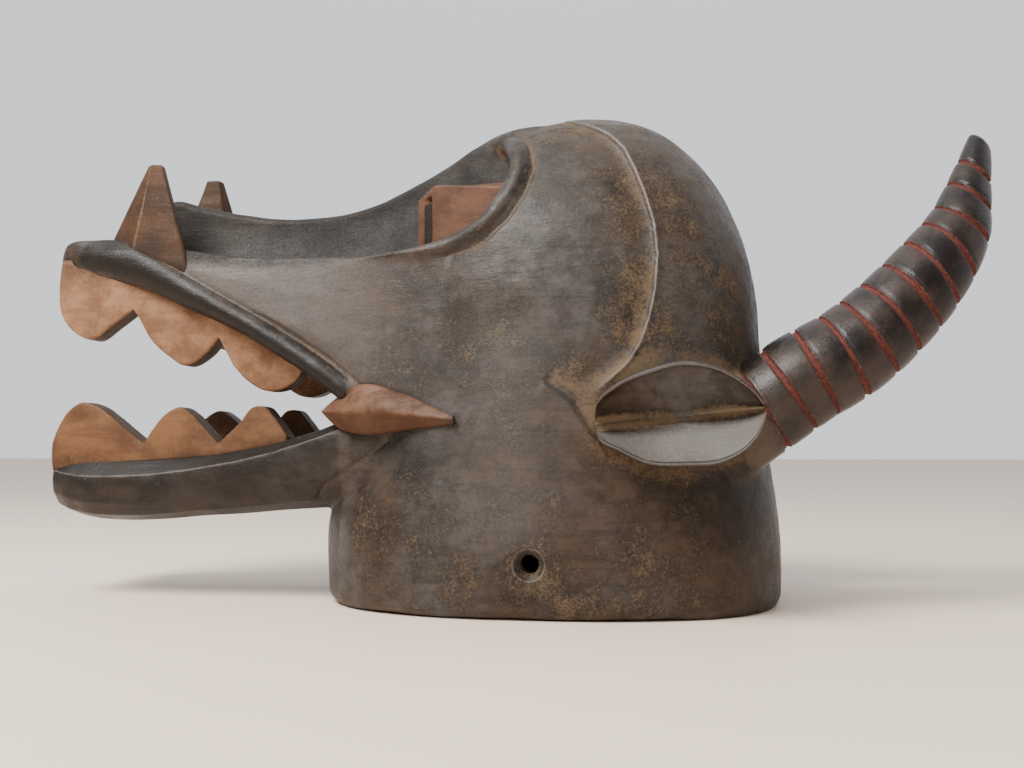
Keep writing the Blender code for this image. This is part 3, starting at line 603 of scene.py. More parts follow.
    # hollows and edges of the finished skin: how far a smoothed copy stands off it
    soft = relax(points, edges, counts, np.ones(len(points)), 8)
    writePoints(mesh, points)
    normals = readNormals(mesh)
    lift = ((soft - points) * normals).sum(1)
    lift = relax(lift[:, None], edges, counts, np.ones(len(points)), 2)[:, 0]
    dust += dusty["hollows"] * smoothStep(0.18, 0.8, lift)
    wearAndSheen += worn["snoutEdges"] * smoothStep(0.30, 0.75, -lift) * (1 - smoothStep(-300, -280, x)) * (1 - roll)
    wearAndSheen += worn["edges"] * smoothStep(0.34, 0.85, -lift) * smoothStep(-250, -200, x) * (1 - 0.8 * roll)
    earGap = np.hypot((x - 133) / 60, (z - 136) / 38)
    dust += dusty["ear"] * flank * band(earGap, 0.8, 1.0, 0.26) * (1 - 0.85 * smoothStep(172, 188, x))
    aside = smoothStep(24, 34, np.abs(y))
    dust += dusty["hornRoot"] * band(x, 186, 214, 12) * band(z, 96, 190, 12) * aside
    dust += dusty["foot"] * (1 - smoothStep(20, 120, z))
    setMark(mesh, "dust", np.clip(dust, 0, 1))
    setMark(mesh, "wearAndSheen", np.clip(wearAndSheen, 0, 1))
    setMark(mesh, "sootAndShade", np.clip(sootAndShade * (1 - dust), 0, 1))
    setMark(mesh, "inside", (1 - outside) * (np.hypot((x - 41) / 190, y / 130) < 1) * (x > -108))
    setMark(mesh, "matt", band(x, -300, 20, 20) * smoothStep(254, 260, z) * (np.abs(y) < 60))
    setMark(mesh, "lineGap", np.clip(lineGap, -8, 8))
    setMark(mesh, "lineFade", lineFade)


def makeBody():
    # shells less the room are joined, made one skin, carved and thinned
    room = roomCutter()
    shells = [headSkin(), muzzleSkin(), noseSkin(), jawSkin(), hornStub(-1, 0), hornStub(1, horns["farDrop"])]
    for shell in shells:
        cutAway(shell, room)
    for radius, low, high in ((head["ropeBore"], -200, 200),
                              (head["ropeSink"], -200, head["ropeSinkDepth"] - 125),
                              (head["ropeSink"], 125 - head["ropeSinkDepth"], 200)):
        bar = borer(radius, low, high)
        cutAway(shells[0], bar)
        discard(bar)
    shells += [lipSkin(), browSkin(-1), browSkin(1)]
    body = shells[0]
    bm = bmesh.new()
    for shell in shells:
        bm.from_mesh(shell.data)
    bm.to_mesh(body.data)
    bm.free()
    for shell in shells[1:]:
        discard(shell)
    step = body.modifiers.new("one skin", "REMESH")
    step.mode, step.voxel_size = "VOXEL", carving["voxel"]
    settle(body)
    print("stage: body is one skin of", len(body.data.polygons), "faces")
    carveBody(body.data)
    step = body.modifiers.new("lighter", "DECIMATE")
    step.ratio = min(1.0, carving["bodyFaces"] / (2 * len(body.data.polygons)))
    settle(body)
    body.name = "carvedHead"
    body.data.shade_smooth()
    print("stage: body carved,", len(body.data.polygons), "faces")
    return body, room


# Teeth.

upperBackTooth = [(-199, 177), (-188, 166), (-173, 158), (-160, 159), (-147, 168), (-143, 178)]
lowerBackTeeth = [
    [(-264, 128), (-254, 140), (-241, 146), (-232, 141), (-222, 131), (-210, 118)],
    [(-193, 134), (-182, 146), (-174, 146), (-166, 138), (-154, 122)]]
toothRows = {                # each tooth is a line of x, z from one foot over its tip to the other
    "upperOuter": 54.0, "lowerOuter": 48.0, "thick": 19.0, "round": 2.4, "bulge": 1.3,
    "upper": [
        [(-343, 233), (-340, 218), (-331, 206), (-315, 199), (-299, 209), (-281, 222)],
        [(-276, 215), (-265, 197), (-251, 185), (-239, 178), (-222, 186), (-211, 199)],
        upperBackTooth],
    "upperFar": [
        [(-334, 240), (-322, 228), (-306, 222), (-288, 224)],
        [(-276, 222), (-262, 207), (-245, 199), (-228, 197), (-211, 204)],
        upperBackTooth],
    "upperRoot": [(-340, 262), (-318, 261), (-262, 248), (-200, 221), (-150, 189), (-140, 183)],
    "lower": [
        [(-346, 116), (-340, 132), (-332, 144), (-322, 150), (-309, 147), (-297, 139), (-283, 128),
         (-270, 118)],
        *lowerBackTeeth],
    "lowerFar": [[(-340, 110), (-330, 114), (-290, 114), (-270, 116)], *lowerBackTeeth],
    "lowerRoot": [(-347, 97), (-270, 97), (-210, 100), (-150, 112)],
}


def toothRow(name, side, teeth, root, outer):
    # a section from root to tip, round at the tip, carried along the row's scalloped edge;
    # outlines are drawn at upperOuter from the middle and grow where the row stands further from the camera
    grow = (cameraReach - outer) / (cameraReach - toothRows["upperOuter"])
    edge = np.concatenate([evenly(tooth, 44) for tooth in teeth])
    edge = cameraSide + (edge - cameraSide) * grow
    run = np.concatenate([[0], np.cumsum(np.linalg.norm(np.diff(edge, axis=0), axis=1))])
    edge = np.stack([np.interp(np.linspace(0, run[-1], 240), run, edge[:, k]) for k in (0, 1)], -1)
    rootX = np.clip(edge[:, 0], root[0][0], root[-1][0])
    foot = np.stack([rootX, curveThrough(root, rootX)[:, 0]], -1)
    long = np.linalg.norm(edge - foot, axis=1)
    r = toothRows["round"]
    face = np.linspace(0, 1, 12)
    arc = np.radians(np.linspace(0, 90, 6))[1:]
    flat = np.linspace(0, 1, 6)[1:-1]
    long = long[:, None]
    ones = np.ones_like(long)
    alongFace = face * (long - r)
    alongArc = long - r + r * np.sin(arc)
    along = np.concatenate([alongFace, alongArc, long * np.ones(len(flat)),
                            alongArc[:, ::-1], alongFace[:, ::-1]], 1)
    thick = toothRows["thick"]
    swell = toothRows["bulge"] * np.sin(np.pi * np.clip(face, 0, 1)) * ones
    depthArc = (r - r * np.cos(arc)) * ones
    depthFlat = (r + (thick - 2 * r) * flat) * ones
    depth = np.concatenate([-swell, depthArc, depthFlat, thick - depthArc[:, ::-1], thick + 0 * alongFace], 1)
    way = run[-1] * np.linspace(0, 1, len(edge))
    ends = smoothStep(0, 3.5, np.minimum(way, way[::-1]))[:, None]
    middle = thick / 2
    depth = middle + (depth - middle) * (0.62 + 0.38 * ends)
    away = (edge - foot) / long
    place = foot[:, None] + away[:, None] * along[..., None]
    across = side * (outer - depth)
    rings = np.stack([place[..., 0], across, place[..., 1]], -1)
    dark = smoothStep(r * 0.3, r * 1.0, depth) * np.ones_like(along)
    dark *= 1 - 0.6 * smoothStep(thick - 4, thick - 0.5, depth)
    nearRoot = smoothStep(0.55, 1.0, 1 - along / long)
    return closedSkin(name, rings, {"edge": dark, "root": nearRoot})


# Tusks.

tusks = {
    "spread": 47.0,
    "foot": [(-306, 0.98, 276), (-280, 1.27, 270), (-231, 1.32, 251), (-246, 0.62, 260), (-292, 0.60, 268)],
    "top": [(-275, 1.00), (-270, 1.11), (-261, 1.08), (-262, 0.92), (-274, 0.92)],
    "height": 336.0, "sunk": 14.0, "farRise": 12.0, "farShift": 8.0,
    "cornerTop": [(-121, 141), (-112, 149), (-104, 155), (-92, 160), (-80, 160), (-56, 153),
                  (-36, 145), (-16, 136)],
    "cornerRidge": [(-121, 141, 80), (-104, 141, 91), (-82, 141, 104), (-50, 138, 111), (-16, 133.5, 118)],
    "cornerFoot": [(-121, 141), (-110, 130), (-96, 125), (-80, 123.5), (-64, 125), (-40, 128), (-16, 130)],
    "cornerDepth": 28.0, "cornerInner": 68.0,
}


def noseTusk(name, side, rise, drift):
    # five-sided foot drawn up to a small five-sided top, straight, with softened corners
    foot = np.array([(x, share * tusks["spread"], z) for x, share, z in tusks["foot"]])
    top = np.array([(x, share * tusks["spread"], tusks["height"] + rise) for x, share in tusks["top"]])
    steps = 12
    foot = softened(roundOutline(foot, steps), 3)
    top = softened(roundOutline(top, steps), 3)
    low = foot - [0, 0, tusks["sunk"]]
    level = np.linspace(0, 1, 60)[:, None, None]
    sides = foot + (top - foot) * level
    rings = np.concatenate([low[None], sides, capRings(top, ((0.86, 0.8), (0.5, 1.3), (0.2, 1.4)))])
    rings[..., 0] += drift
    rings[..., 1] *= side
    levels = np.concatenate([[0], level[:, 0, 0], [1, 1, 1]])[:, None] * np.ones(len(foot))
    column = np.arange(len(foot)) / steps
    # painted highlight: a pale line along one ridge
    ridgeHighlight = 0.75 * np.exp(-((column - 1) / 0.05) ** 2)
    marks = {"root": 1 - smoothStep(0, 0.3, levels), "edge": ridgeHighlight * np.ones_like(levels)}
    return closedSkin(name, rings, marks)


def cornerTusk(name, side):
    # a long diamond: an upper and a lower facet meeting on a ridge, from tip to tip
    x = np.concatenate([np.linspace(-121, -110, 16)[:-1], np.linspace(-110, -16, 80)])
    top = curveThrough(tusks["cornerTop"], x)[:, 0]
    ridgeZ, ridgeY = curveThrough(tusks["cornerRidge"], x).T
    foot = curveThrough(tusks["cornerFoot"], x)[:, 0]
    inner = np.maximum(ridgeY - tusks["cornerDepth"], tusks["cornerInner"])
    upY = ridgeY - 9 * smoothStep(0, 16, top - ridgeZ) - 1
    downY = ridgeY - 7 * smoothStep(0, 14, ridgeZ - foot) - 1
    corners = np.stack([np.stack(place, -1) for place in (
        (inner, top - 1), (upY, top), (ridgeY, ridgeZ), (downY, foot), (inner, foot + 1))], 1)
    steps = 10
    ring = softened(roundOutline(corners, steps), 2)
    rings = np.stack([np.broadcast_to(x[:, None], ring.shape[:2]), side * ring[..., 0], ring[..., 1]], -1)
    column = np.arange(ring.shape[1]) / steps
    # painted highlight: a pale line along the ridge
    ridgeHighlight = 0.45 * np.exp(-((column - 2) / 0.06) ** 2) * np.ones((len(x), 1))
    worn = smoothStep(-34, -18, x)[:, None] * np.ones(ring.shape[1])
    # painted shade: the lower facet, which faces down, is darkened
    lower = smoothStep(2.0, 2.2, column) * np.ones((len(x), 1))
    return closedSkin(name, rings, {"edge": ridgeHighlight, "root": worn, "lower": lower})


# Eyes, ears and horns.

eyes = {
    "plan": [(-58, 42), (-41, 64), (24, 76), (28, 50), (-40, 30)],
    "top": [303, 309, 303, 314, 316],
    "foot": 247.0, "slitWidth": 4.4, "slitDepth": 6.0,
    "slitPlace": 0.66, "facetWidth": 28.0,   # the slit's share of the way across its facet
}


def eyeBlock(name, side):
    # a five-sided block with a slit down the facet that looks along the snout
    corners = np.array([(x, y, top) for (x, y), top in zip(eyes["plan"], eyes["top"])], float)
    steps = 34
    ring = softened(roundOutline(corners, steps), 4)
    level = np.linspace(0, 1, 60)[:, None]
    place = np.arange(len(ring)) / steps
    z = eyes["foot"] + (ring[:, 2] - eyes["foot"]) * level
    aside = np.abs(place - eyes["slitPlace"]) * eyes["facetWidth"] / eyes["slitWidth"]
    aside = np.where(place < 1, aside, 9)
    slit = (1 - smoothStep(0.7, 1.5, aside)) * band(z, eyes["foot"] + 8, eyes["foot"] + 52, 4)
    shade = (1 - smoothStep(1.3, 1.8, aside)) * band(z, eyes["foot"] + 10, eyes["foot"] + 50, 3)
    middle = ring[:, :2].mean(0)
    out = ring[:, :2] - middle
    out /= np.linalg.norm(out, axis=1, keepdims=True)
    flat = ring[:, :2] - out * (slit * eyes["slitDepth"])[..., None]
    rings = np.concatenate([flat, z[..., None]], -1)
    rings = np.concatenate([rings, capRings(rings[-1], ((0.97, 0.9), (0.9, 1.3), (0.5, 1.5)))])
    rings[..., 1] *= side
    shade = np.concatenate([shade, np.zeros((3, len(ring)))])
    low = 1 - smoothStep(252, 268, rings[..., 2])
    return closedSkin(name, rings, {"edge": shade, "root": low})


ears = {
    "upper": [(80, 135), (82, 144), (95, 156), (116, 165), (138, 170), (160, 166), (174, 158), (184, 149)],
    "back": (189, 139),
    "lower": [(185, 123), (176, 112), (161, 104), (139, 102), (115, 103), (97, 111), (83, 119), (79.5, 127)],
    "line": ((79, 129.5), (189, 139.5)),     # the valley's floor in x, z
    "spread": 141.4, "root": 98.0,           # how far rim and root stand from the middle
    "valley": 21.0, "bed": (4.6, 1.4),       # the valley's depth, and its bed's half width, front and back
    "rim": 3.2, "shrink": 0.74, "mouthDrop": 17.5, "lowerSheen": 0.75,
    "centre": (135.0, 136.0), "mouthZ": 131.0,
}


def earLeaf(name, side):
    # rings from the root out over the rim and down two slopes to a valley that runs out at the front
    outline = evenly([*ears["upper"], ears["back"], *ears["lower"], ears["upper"][0]], 201)[:-1]
    (frontX, frontZ), (backX, backZ) = ears["line"]
    share = np.clip((outline[:, 0] - frontX) / (backX - frontX), 0, 1)
    floor = np.stack([outline[:, 0], frontZ + (backZ - frontZ) * share], -1)
    middle = np.array(ears["centre"])
    bow = np.sqrt(1 - share ** 2.4) * (0.84 + 0.16 * np.sin(np.pi * share))
    fromMouth = outline[:, 1] - ears["mouthZ"]
    mouth = np.exp(-(fromMouth / 10.5) ** 4) * (1 - smoothStep(82, 97, outline[:, 0]))
    closed = 1 - np.exp(-(fromMouth / 13) ** 4) * (1 - smoothStep(84, 102, outline[:, 0]))
    rimDepth = ears["spread"] - ears["mouthDrop"] * mouth
    valleyDepth = ears["spread"] - ears["valley"] * bow
    none = np.zeros(len(outline))
    rings, dust, wearAndSheen = [], [], []

    def add(flat, depth, dusty, worn):
        # points go in with their dust and their wear with painted sheen, which are single numbers or one a
        # point
        rings.append(np.column_stack([flat[:, 0], side * depth, flat[:, 1]]))
        dust.append(dusty + none)
        wearAndSheen.append(worn + none)

    for level in np.linspace(0, 1, 16):          # root to rim
        size = ears["shrink"] + (1 - ears["shrink"]) * math.sin(level * math.pi / 2) ** 0.8
        depth = ears["root"] + (rimDepth - 2.0 - ears["root"]) * level
        add(middle + (outline - middle) * size, depth, 0.9 * (1 - level) ** 1.5, 0)
    toward = floor - outline
    room = np.linalg.norm(toward, axis=1, keepdims=True)
    toward /= np.maximum(room, 1e-6)
    for angle in np.linspace(12, 168, 9):        # over the rounded rim
        inset = ears["rim"] * (1 - math.cos(math.radians(angle))) / 2
        start = outline + toward * np.minimum(inset, 0.5 * room)
        startDepth = rimDepth - 2.0 + 2.0 * math.sin(math.radians(angle)) ** 0.7
        add(start, startDepth, 0.7 * mouth, 0.6 * closed * near(angle, 110, 30))
    halfBed = ears["bed"][0] + (ears["bed"][1] - ears["bed"][0]) * share
    bed = floor + np.stack([none, halfBed * np.sign(outline[:, 1] - floor[:, 1])], -1)
    # painted sheen: the lower slope, which faces up, is lightened through the wear mark
    lower = ears["lowerSheen"] * (outline[:, 1] < floor[:, 1])
    for level in np.linspace(0, 1, 28)[1:]:      # down the slopes
        depth = startDepth + (valleyDepth - startDepth) * level ** 0.85
        dusty = 0.75 * smoothStep(0.84, 1.0, level) + 0.6 * mouth * level
        add(start + (bed - start) * level, depth, dusty, lower * (1 - smoothStep(0.6, 0.95, level)))
    for level in (0.35, 0.7, 1.0):               # over the valley's bed
        add(bed + (floor - bed) * level, valleyDepth, 0.95, 0)
    return closedSkin(name, np.array(rings), {"dust": np.clip(dust, 0, 1), "wearAndSheen": np.array(wearAndSheen)})


horns = {
    "line": [                # x, z, radius
        (150, 108, 33), (190, 138, 33.5), (222, 161, 33.5), (256, 181, 32.5), (288, 208, 31),
        (318, 240, 28.5), (332, 258, 26), (342, 275, 23), (349, 294, 19), (355, 313, 15.2),
        (360, 329, 12.2), (364, 343, 9.6)],
    "spacing": (130.0, 25.0), "farDrop": 12.0,
    "grooves": 12, "firstGroove": 0.168, "lastGroove": 0.916, "grooveWidth": 4.3, "grooveDepth": 2.0,
    "rootSlant": 1.0, "tipSlant": 28.0, "slantPower": 2.5, "rings": 560, "columns": 72,
    "start": 0.06,                           # the share of the line where the horn leaves the head
    "swell": 0.33, "swellLength": 24.0, "facet": 0.5,
}


def hornTable(drop):
    # length run along the line beside its x, z, radius and distance from the middle, which closes to the tips
    line = np.array(horns["line"], float)
    line[:, 1] -= drop * np.linspace(0.6, 1.5, len(line))
    run = np.concatenate([[0], np.cumsum(np.hypot(*np.diff(line[:, :2], axis=0).T))])
    closing = np.clip((run / run[-1] - 0.25) / 0.75, 0, 1) ** 1.5
    spread = (horns["spacing"][0] + (horns["spacing"][1] - horns["spacing"][0]) * closing) / 2
    return np.column_stack([run, line, spread]), run[-1]


def hornStub(side, drop):
    # the horn's foot as part of the head, a little thinner than the horn itself
    table, total = hornTable(drop)
    x, z, radius, away = curveThrough(table, np.linspace(0.03, 0.175, 30) * total).T
    path = np.stack([x, side * away, z], -1)
    return closedSkin("stub", tubeRings(path, radius - 1.2, radius - 1.2, 40))


def hornSkin(name, side, drop):
    # round sections carried along the bent line, each dipped by the grooves that cross it
    dice = np.random.default_rng(carving["seed"] + (1 if side > 0 else 0))
    table, total = hornTable(drop)
    place = np.linspace(horns["start"], 1, horns["rings"]) * total
    x, z, radius, away = curveThrough(table, place).T
    ahead = curveThrough(table, np.clip(place + 1, 0, total))[:, :2] - curveThrough(table, place - 1)[:, :2]
    slant = np.radians(horns["rootSlant"] + (horns["tipSlant"] - horns["rootSlant"])
                       * (place / total) ** horns["slantPower"])
    lean = np.arctan2(ahead[:, 1], ahead[:, 0]) - slant
    angle = np.linspace(0, 2 * np.pi, horns["columns"], endpoint=False)
    step = np.arange(horns["grooves"]) / (horns["grooves"] - 1)
    middle = (horns["firstGroove"] + (horns["lastGroove"] - horns["firstGroove"]) * step) * total
    dip = np.zeros((len(place), len(angle)))
    paint = np.zeros_like(dip)
    for centre in middle:                        # one groove at a time, over all rings and columns
        wobble = 1.1 * np.sin(angle + dice.uniform(0, 6.28)) + 0.7 * np.sin(2 * angle + dice.uniform(0, 6.28))
        wide = horns["grooveWidth"] * (1 + 0.16 * np.sin(3 * angle + dice.uniform(0, 6.28)))
        off = place[:, None] - centre - wobble
        dip += np.clip(1.25 - np.abs(2 * off / wide) ** 3 * 1.25, 0, 1) * horns["grooveDepth"]
        dip += 0.35 * near(np.abs(off), wide * 0.75, 1.5) * (off > 0)
        paint += 1 - smoothStep(0.42 * wide, 0.60 * wide, np.abs(off))
    starts = np.concatenate([[0], middle])
    sinceGroove = place - starts[np.searchsorted(middle, place)]
    swell = horns["swell"] * np.sin(np.pi * np.clip(sinceGroove / horns["swellLength"], 0, 1))
    facet = horns["facet"] * np.cos(5 * angle + 0.6) * (radius / 30)[:, None]
    size = (radius + swell)[:, None] - dip + facet
    tip = np.clip((place / total - 0.988) / 0.012, 0, 1)
    size = size * (0.74 + 0.26 * np.sqrt(1 - tip ** 2))[:, None]
    size = size * (0.72 + 0.28 * smoothStep(0.0, 0.10, place / total))[:, None]
    up, out = size * np.cos(angle), size * np.sin(angle)
    rings = np.stack([x[:, None] - np.sin(lean)[:, None] * up, side * away[:, None] + out,
                      z[:, None] + np.cos(lean)[:, None] * up], -1)
    rootDust = 0.35 * (1 - smoothStep(0.10, 0.22, place / total))[:, None] * np.ones(len(angle))
    return closedSkin(name, rings, {"paint": np.clip(paint, 0, 1), "dust": rootDust})


# Finishes.

def feed(tree, socket, value):
    # another node's output is linked, a number is set, a colour is set as opaque
    if isinstance(value, bpy.types.NodeSocket):
        tree.links.new(value, socket)
    else:
        socket.default_value = (*value, 1.0) if socket.type == "RGBA" else value


def put(tree, kind, settings=None, **sockets):
    # a node of the kind, with its settings and its inputs by name
    made = tree.nodes.new("ShaderNode" + kind)
    for name, value in (settings or {}).items():
        setattr(made, name, value)
    for name, value in sockets.items():
        feed(tree, made.inputs[name.replace("_", " ")], value)
    return made


def mixed(tree, factor, first, second):
    # colour = first (1 - factor) + second factor
    made = put(tree, "Mix", {"data_type": "RGBA"})
    for index, value in ((0, factor), (6, first), (7, second)):
        feed(tree, made.inputs[index], value)
    return made.outputs[2]


def figure(tree, operation, *values):
    # one step of arithmetic on the values, in their order
    made = put(tree, "Math", {"operation": operation})
    for socket, value in zip(made.inputs, values):
        feed(tree, socket, value)
    return made.outputs[0]


def times(tree, first, second):
    # first x second
    return figure(tree, "MULTIPLY", first, second)


def ramp(tree, value, low, high, toLow=0.0, toHigh=1.0):
    # a smooth rise from toLow at low to toHigh at high
    return put(tree, "MapRange", {"interpolation_type": "SMOOTHSTEP"}, Value=value, From_Min=low,
               From_Max=high, To_Min=toLow, To_Max=toHigh).outputs["Result"]


def cloud(tree, where, scale, detail=5.0, rough=0.55, stretch=None):
    # noise of so many cells a metre, drawn out along an axis whose stretch is under 1
    if stretch:
        where = put(tree, "Mapping", Vector=where, Scale=stretch).outputs["Vector"]
    return put(tree, "TexNoise", Vector=where, Scale=scale, Detail=detail, Roughness=rough).outputs["Fac"]


def fromMesh(tree, name):
    # a value kept on the mesh's points
    return put(tree, "Attribute", {"attribute_name": name}).outputs["Fac"]


def startMaterial(name):
    # a new material with its node tree, its shader and the place on the object
    made = bpy.data.materials.new(name)
    made.use_nodes = True
    tree = made.node_tree
    where = put(tree, "TexCoord").outputs["Object"]
    return made, tree, tree.nodes["Principled BSDF"], where


def feel(tree, shader, roughness, heights, distance):
    # bumps laid one on another: each is (height, strength)
    tree.links.new(roughness, shader.inputs["Roughness"])
    normal = None
    for height, strength in heights:
        bump = put(tree, "Bump", Height=height, Strength=strength, Distance=distance)
        if normal:
            tree.links.new(normal, bump.inputs["Normal"])
        normal = bump.outputs["Normal"]
    tree.links.new(normal, shader.inputs["Normal"])


waxedWood = {
    "black": (0.0085, 0.0064, 0.0050), "grey": (0.062, 0.054, 0.049), "brown": (0.052, 0.033, 0.020),
    # worn: pale colour of rubbed edges, also laid as painted sheen and painted highlight lines
    "dust": (0.140, 0.094, 0.053), "worn": (0.168, 0.153, 0.143), "raw": (0.13, 0.085, 0.055),
    "shine": 0.22, "bump": 0.0011,
}


def waxedMaterial():
    # grey and brown patches under black wax, then soot and painted shade, speckled dust, rubbed edges with
    # painted sheen and highlight lines, raw inside
    made, tree, shader, where = startMaterial("waxedWood")
    patches = cloud(tree, where, 8, 5, 0.62)
    blotches = cloud(tree, where, 22, 9, 0.70)
    mottle = cloud(tree, where, 70, 9, 0.74)
    fine = cloud(tree, where, 520, 4, 0.75)
    grain = cloud(tree, where, 110, 7, 0.70, (0.10, 1, 1))
    base = mixed(tree, ramp(tree, patches, 0.38, 0.62), waxedWood["grey"], waxedWood["brown"])
    for noise, low, high, share in (
            (blotches, 0.40, 0.62, 0.85), (mottle, 0.42, 0.66, 0.6), (grain, 0.46, 0.68, 0.5)):
        base = mixed(tree, ramp(tree, noise, low, high, 0, share), base, waxedWood["black"])
    # soot and painted shade: black laid by the soot mark
    base = mixed(tree, times(tree, fromMesh(tree, "sootAndShade"), 0.85), base, waxedWood["black"])
    heap = figure(tree, "MULTIPLY_ADD", fromMesh(tree, "dust"), 0.62, 0.13)
    for noise, share in ((blotches, 1.5), (mottle, 1.4), (fine, 1.5)):
        heap = figure(tree, "MULTIPLY_ADD", figure(tree, "SUBTRACT", noise, 0.5), share, heap)
    heap = figure(tree, "SUBTRACT", heap, times(tree, fromMesh(tree, "sootAndShade"), 0.25))
    heap = ramp(tree, heap, 0.20, 0.95, 0, 0.82)
    base = mixed(tree, heap, base, waxedWood["dust"])
    # rubbed edges together with painted sheen and painted highlight lines, all in the worn colour
    rubbedAndSheen = times(tree, fromMesh(tree, "wearAndSheen"), ramp(tree, fine, 0.30, 0.70, 0.68, 1.0))
    line = ramp(tree, figure(tree, "ABSOLUTE", fromMesh(tree, "lineGap")), 0.15, 0.7, 0.8, 0.0)
    line = times(tree, line, ramp(tree, mottle, 0.36, 0.56, 0.35, 1.0))
    rubbedAndSheen = figure(tree, "MULTIPLY_ADD", line, fromMesh(tree, "lineFade"), rubbedAndSheen)
    rubbedAndSheen = figure(tree, "MINIMUM", times(tree, rubbedAndSheen, 0.8), 1.0)
    base = mixed(tree, rubbedAndSheen, base, waxedWood["worn"])
    rawInside = ramp(tree, grain, 0.35, 0.7, 0.7, 1.0)
    base = mixed(tree, times(tree, fromMesh(tree, "inside"), rawInside), base, waxedWood["raw"])
    tree.links.new(base, shader.inputs["Base Color"])
    gloss = figure(tree, "MULTIPLY_ADD", heap, 0.42, ramp(tree, blotches, 0.3, 0.7, 0.30, 0.44))
    gloss = figure(tree, "ADD", gloss, ramp(tree, fine, 0.3, 0.7, -0.06, 0.12))
    gloss = figure(tree, "MAXIMUM", gloss, times(tree, fromMesh(tree, "inside"), 0.8))
    gloss = figure(tree, "MULTIPLY_ADD", fromMesh(tree, "matt"), 0.2, gloss)
    feel(tree, shader, gloss, [(blotches, 0.45), (grain, 0.5), (fine, 0.28)], waxedWood["bump"])
    shader.inputs["Specular IOR Level"].default_value = waxedWood["shine"]
    return made


ochreFinish = {              # light and deep wood, and the colour of edges and slits: dark sides of the teeth, painted shade in the eye's slit, a painted highlight along the tusks' ridges
    "upperToothWood": ((0.285, 0.155, 0.086), (0.145, 0.070, 0.036), (0.034, 0.020, 0.013)),
    "lowerToothWood": ((0.162, 0.077, 0.034), (0.082, 0.036, 0.016), (0.046, 0.029, 0.021)),
    "tuskWood": ((0.062, 0.026, 0.0085), (0.030, 0.012, 0.004), (0.145, 0.088, 0.052)),
    "cornerTuskWood": ((0.142, 0.072, 0.041), (0.054, 0.021, 0.009), (0.145, 0.088, 0.055)),
    "eyeWood": ((0.120, 0.056, 0.032), (0.060, 0.027, 0.015), (0.006, 0.004, 0.003)),
}
ochreShine = 0.2


def ochreMaterial(name):
    # light and deep wood in patches and along the grain, then specks, the painted shade of the corner tusk's
    # lower facet, edges (painted highlights on ridges, painted shade in slits) and a blackened root
    light, deep, edge = ochreFinish[name]
    made, tree, shader, where = startMaterial(name)
    grain = cloud(tree, where, 95, 8, 0.68, (0.14, 1, 1))
    patches = cloud(tree, where, 34, 8, 0.68)
    specks = cloud(tree, where, 480, 4, 0.72)
    base = mixed(tree, ramp(tree, patches, 0.38, 0.64), light, deep)
    base = mixed(tree, ramp(tree, grain, 0.46, 0.68, 0, 0.65), base, deep)
    base = mixed(tree, ramp(tree, specks, 0.55, 0.74, 0, 0.5), base, edge)
    # painted shade: the corner tusk's lower facet darkened
    base = mixed(tree, times(tree, fromMesh(tree, "lower"), 0.75), base, deep)
    # edge mark: painted highlight on the tusks' ridges, painted shade in the eye's slit, dark sides on the
    # teeth
    rim = figure(tree, "ADD", fromMesh(tree, "edge"), ramp(tree, specks, 0.3, 0.7, -0.3, 0.2))
    base = mixed(tree, ramp(tree, rim, 0.25, 0.8, 0, 0.93), base, edge)
    foot = times(tree, fromMesh(tree, "root"), ramp(tree, specks, 0.3, 0.65, 0.25, 0.9))
    base = mixed(tree, times(tree, foot, 0.65), base, waxedWood["black"])
    tree.links.new(base, shader.inputs["Base Color"])
    gloss = ramp(tree, grain, 0.3, 0.7, 0.46, 0.70)
    feel(tree, shader, gloss, [(grain, 0.4), (patches, 0.3), (specks, 0.25)], 0.001)
    shader.inputs["Specular IOR Level"].default_value = ochreShine
    return made


hornFinish = {
    "dark": (0.0100, 0.0072, 0.0064), "brown": (0.036, 0.023, 0.017), "red": (0.112, 0.025, 0.017),
    "deepRed": (0.040, 0.010, 0.008), "chip": (0.22, 0.12, 0.09), "shine": 0.3,
}


def hornMaterial():
    # dark patched wood, dusty at the root, with red in the grooves and pale chips at their edges
    made, tree, shader, where = startMaterial("hornWood")
    patches = cloud(tree, where, 30, 8, 0.70)
    specks = cloud(tree, where, 480, 4, 0.72)
    grain = cloud(tree, where, 150, 6, 0.66, (0.3, 1, 0.3))
    base = mixed(tree, ramp(tree, patches, 0.40, 0.62), hornFinish["dark"], hornFinish["brown"])
    base = mixed(tree, ramp(tree, grain, 0.5, 0.75, 0, 0.4), base, hornFinish["dark"])
    dusty = times(tree, fromMesh(tree, "dust"), ramp(tree, patches, 0.3, 0.6, 0.2, 0.8))
    base = mixed(tree, dusty, base, waxedWood["dust"])
    red = mixed(tree, ramp(tree, specks, 0.35, 0.6), hornFinish["deepRed"], hornFinish["red"])
    coat = figure(tree, "ADD", fromMesh(tree, "paint"), ramp(tree, specks, 0.3, 0.7, -0.3, 0.2))
    coat = ramp(tree, coat, 0.35, 0.6)
    base = mixed(tree, coat, base, red)
    edge = times(tree, fromMesh(tree, "paint"), figure(tree, "SUBTRACT", 1.0, fromMesh(tree, "paint")))
    flakes = times(tree, ramp(tree, edge, 0.10, 0.24), ramp(tree, specks, 0.56, 0.68))
    base = mixed(tree, flakes, base, hornFinish["chip"])
    tree.links.new(base, shader.inputs["Base Color"])
    gloss = figure(tree, "MULTIPLY_ADD", coat, 0.4, ramp(tree, patches, 0.3, 0.7, 0.25, 0.42))
    feel(tree, shader, gloss, [(patches, 0.4), (grain, 0.25), (specks, 0.22)], 0.001)
    shader.inputs["Specular IOR Level"].default_value = hornFinish["shine"]
    return made


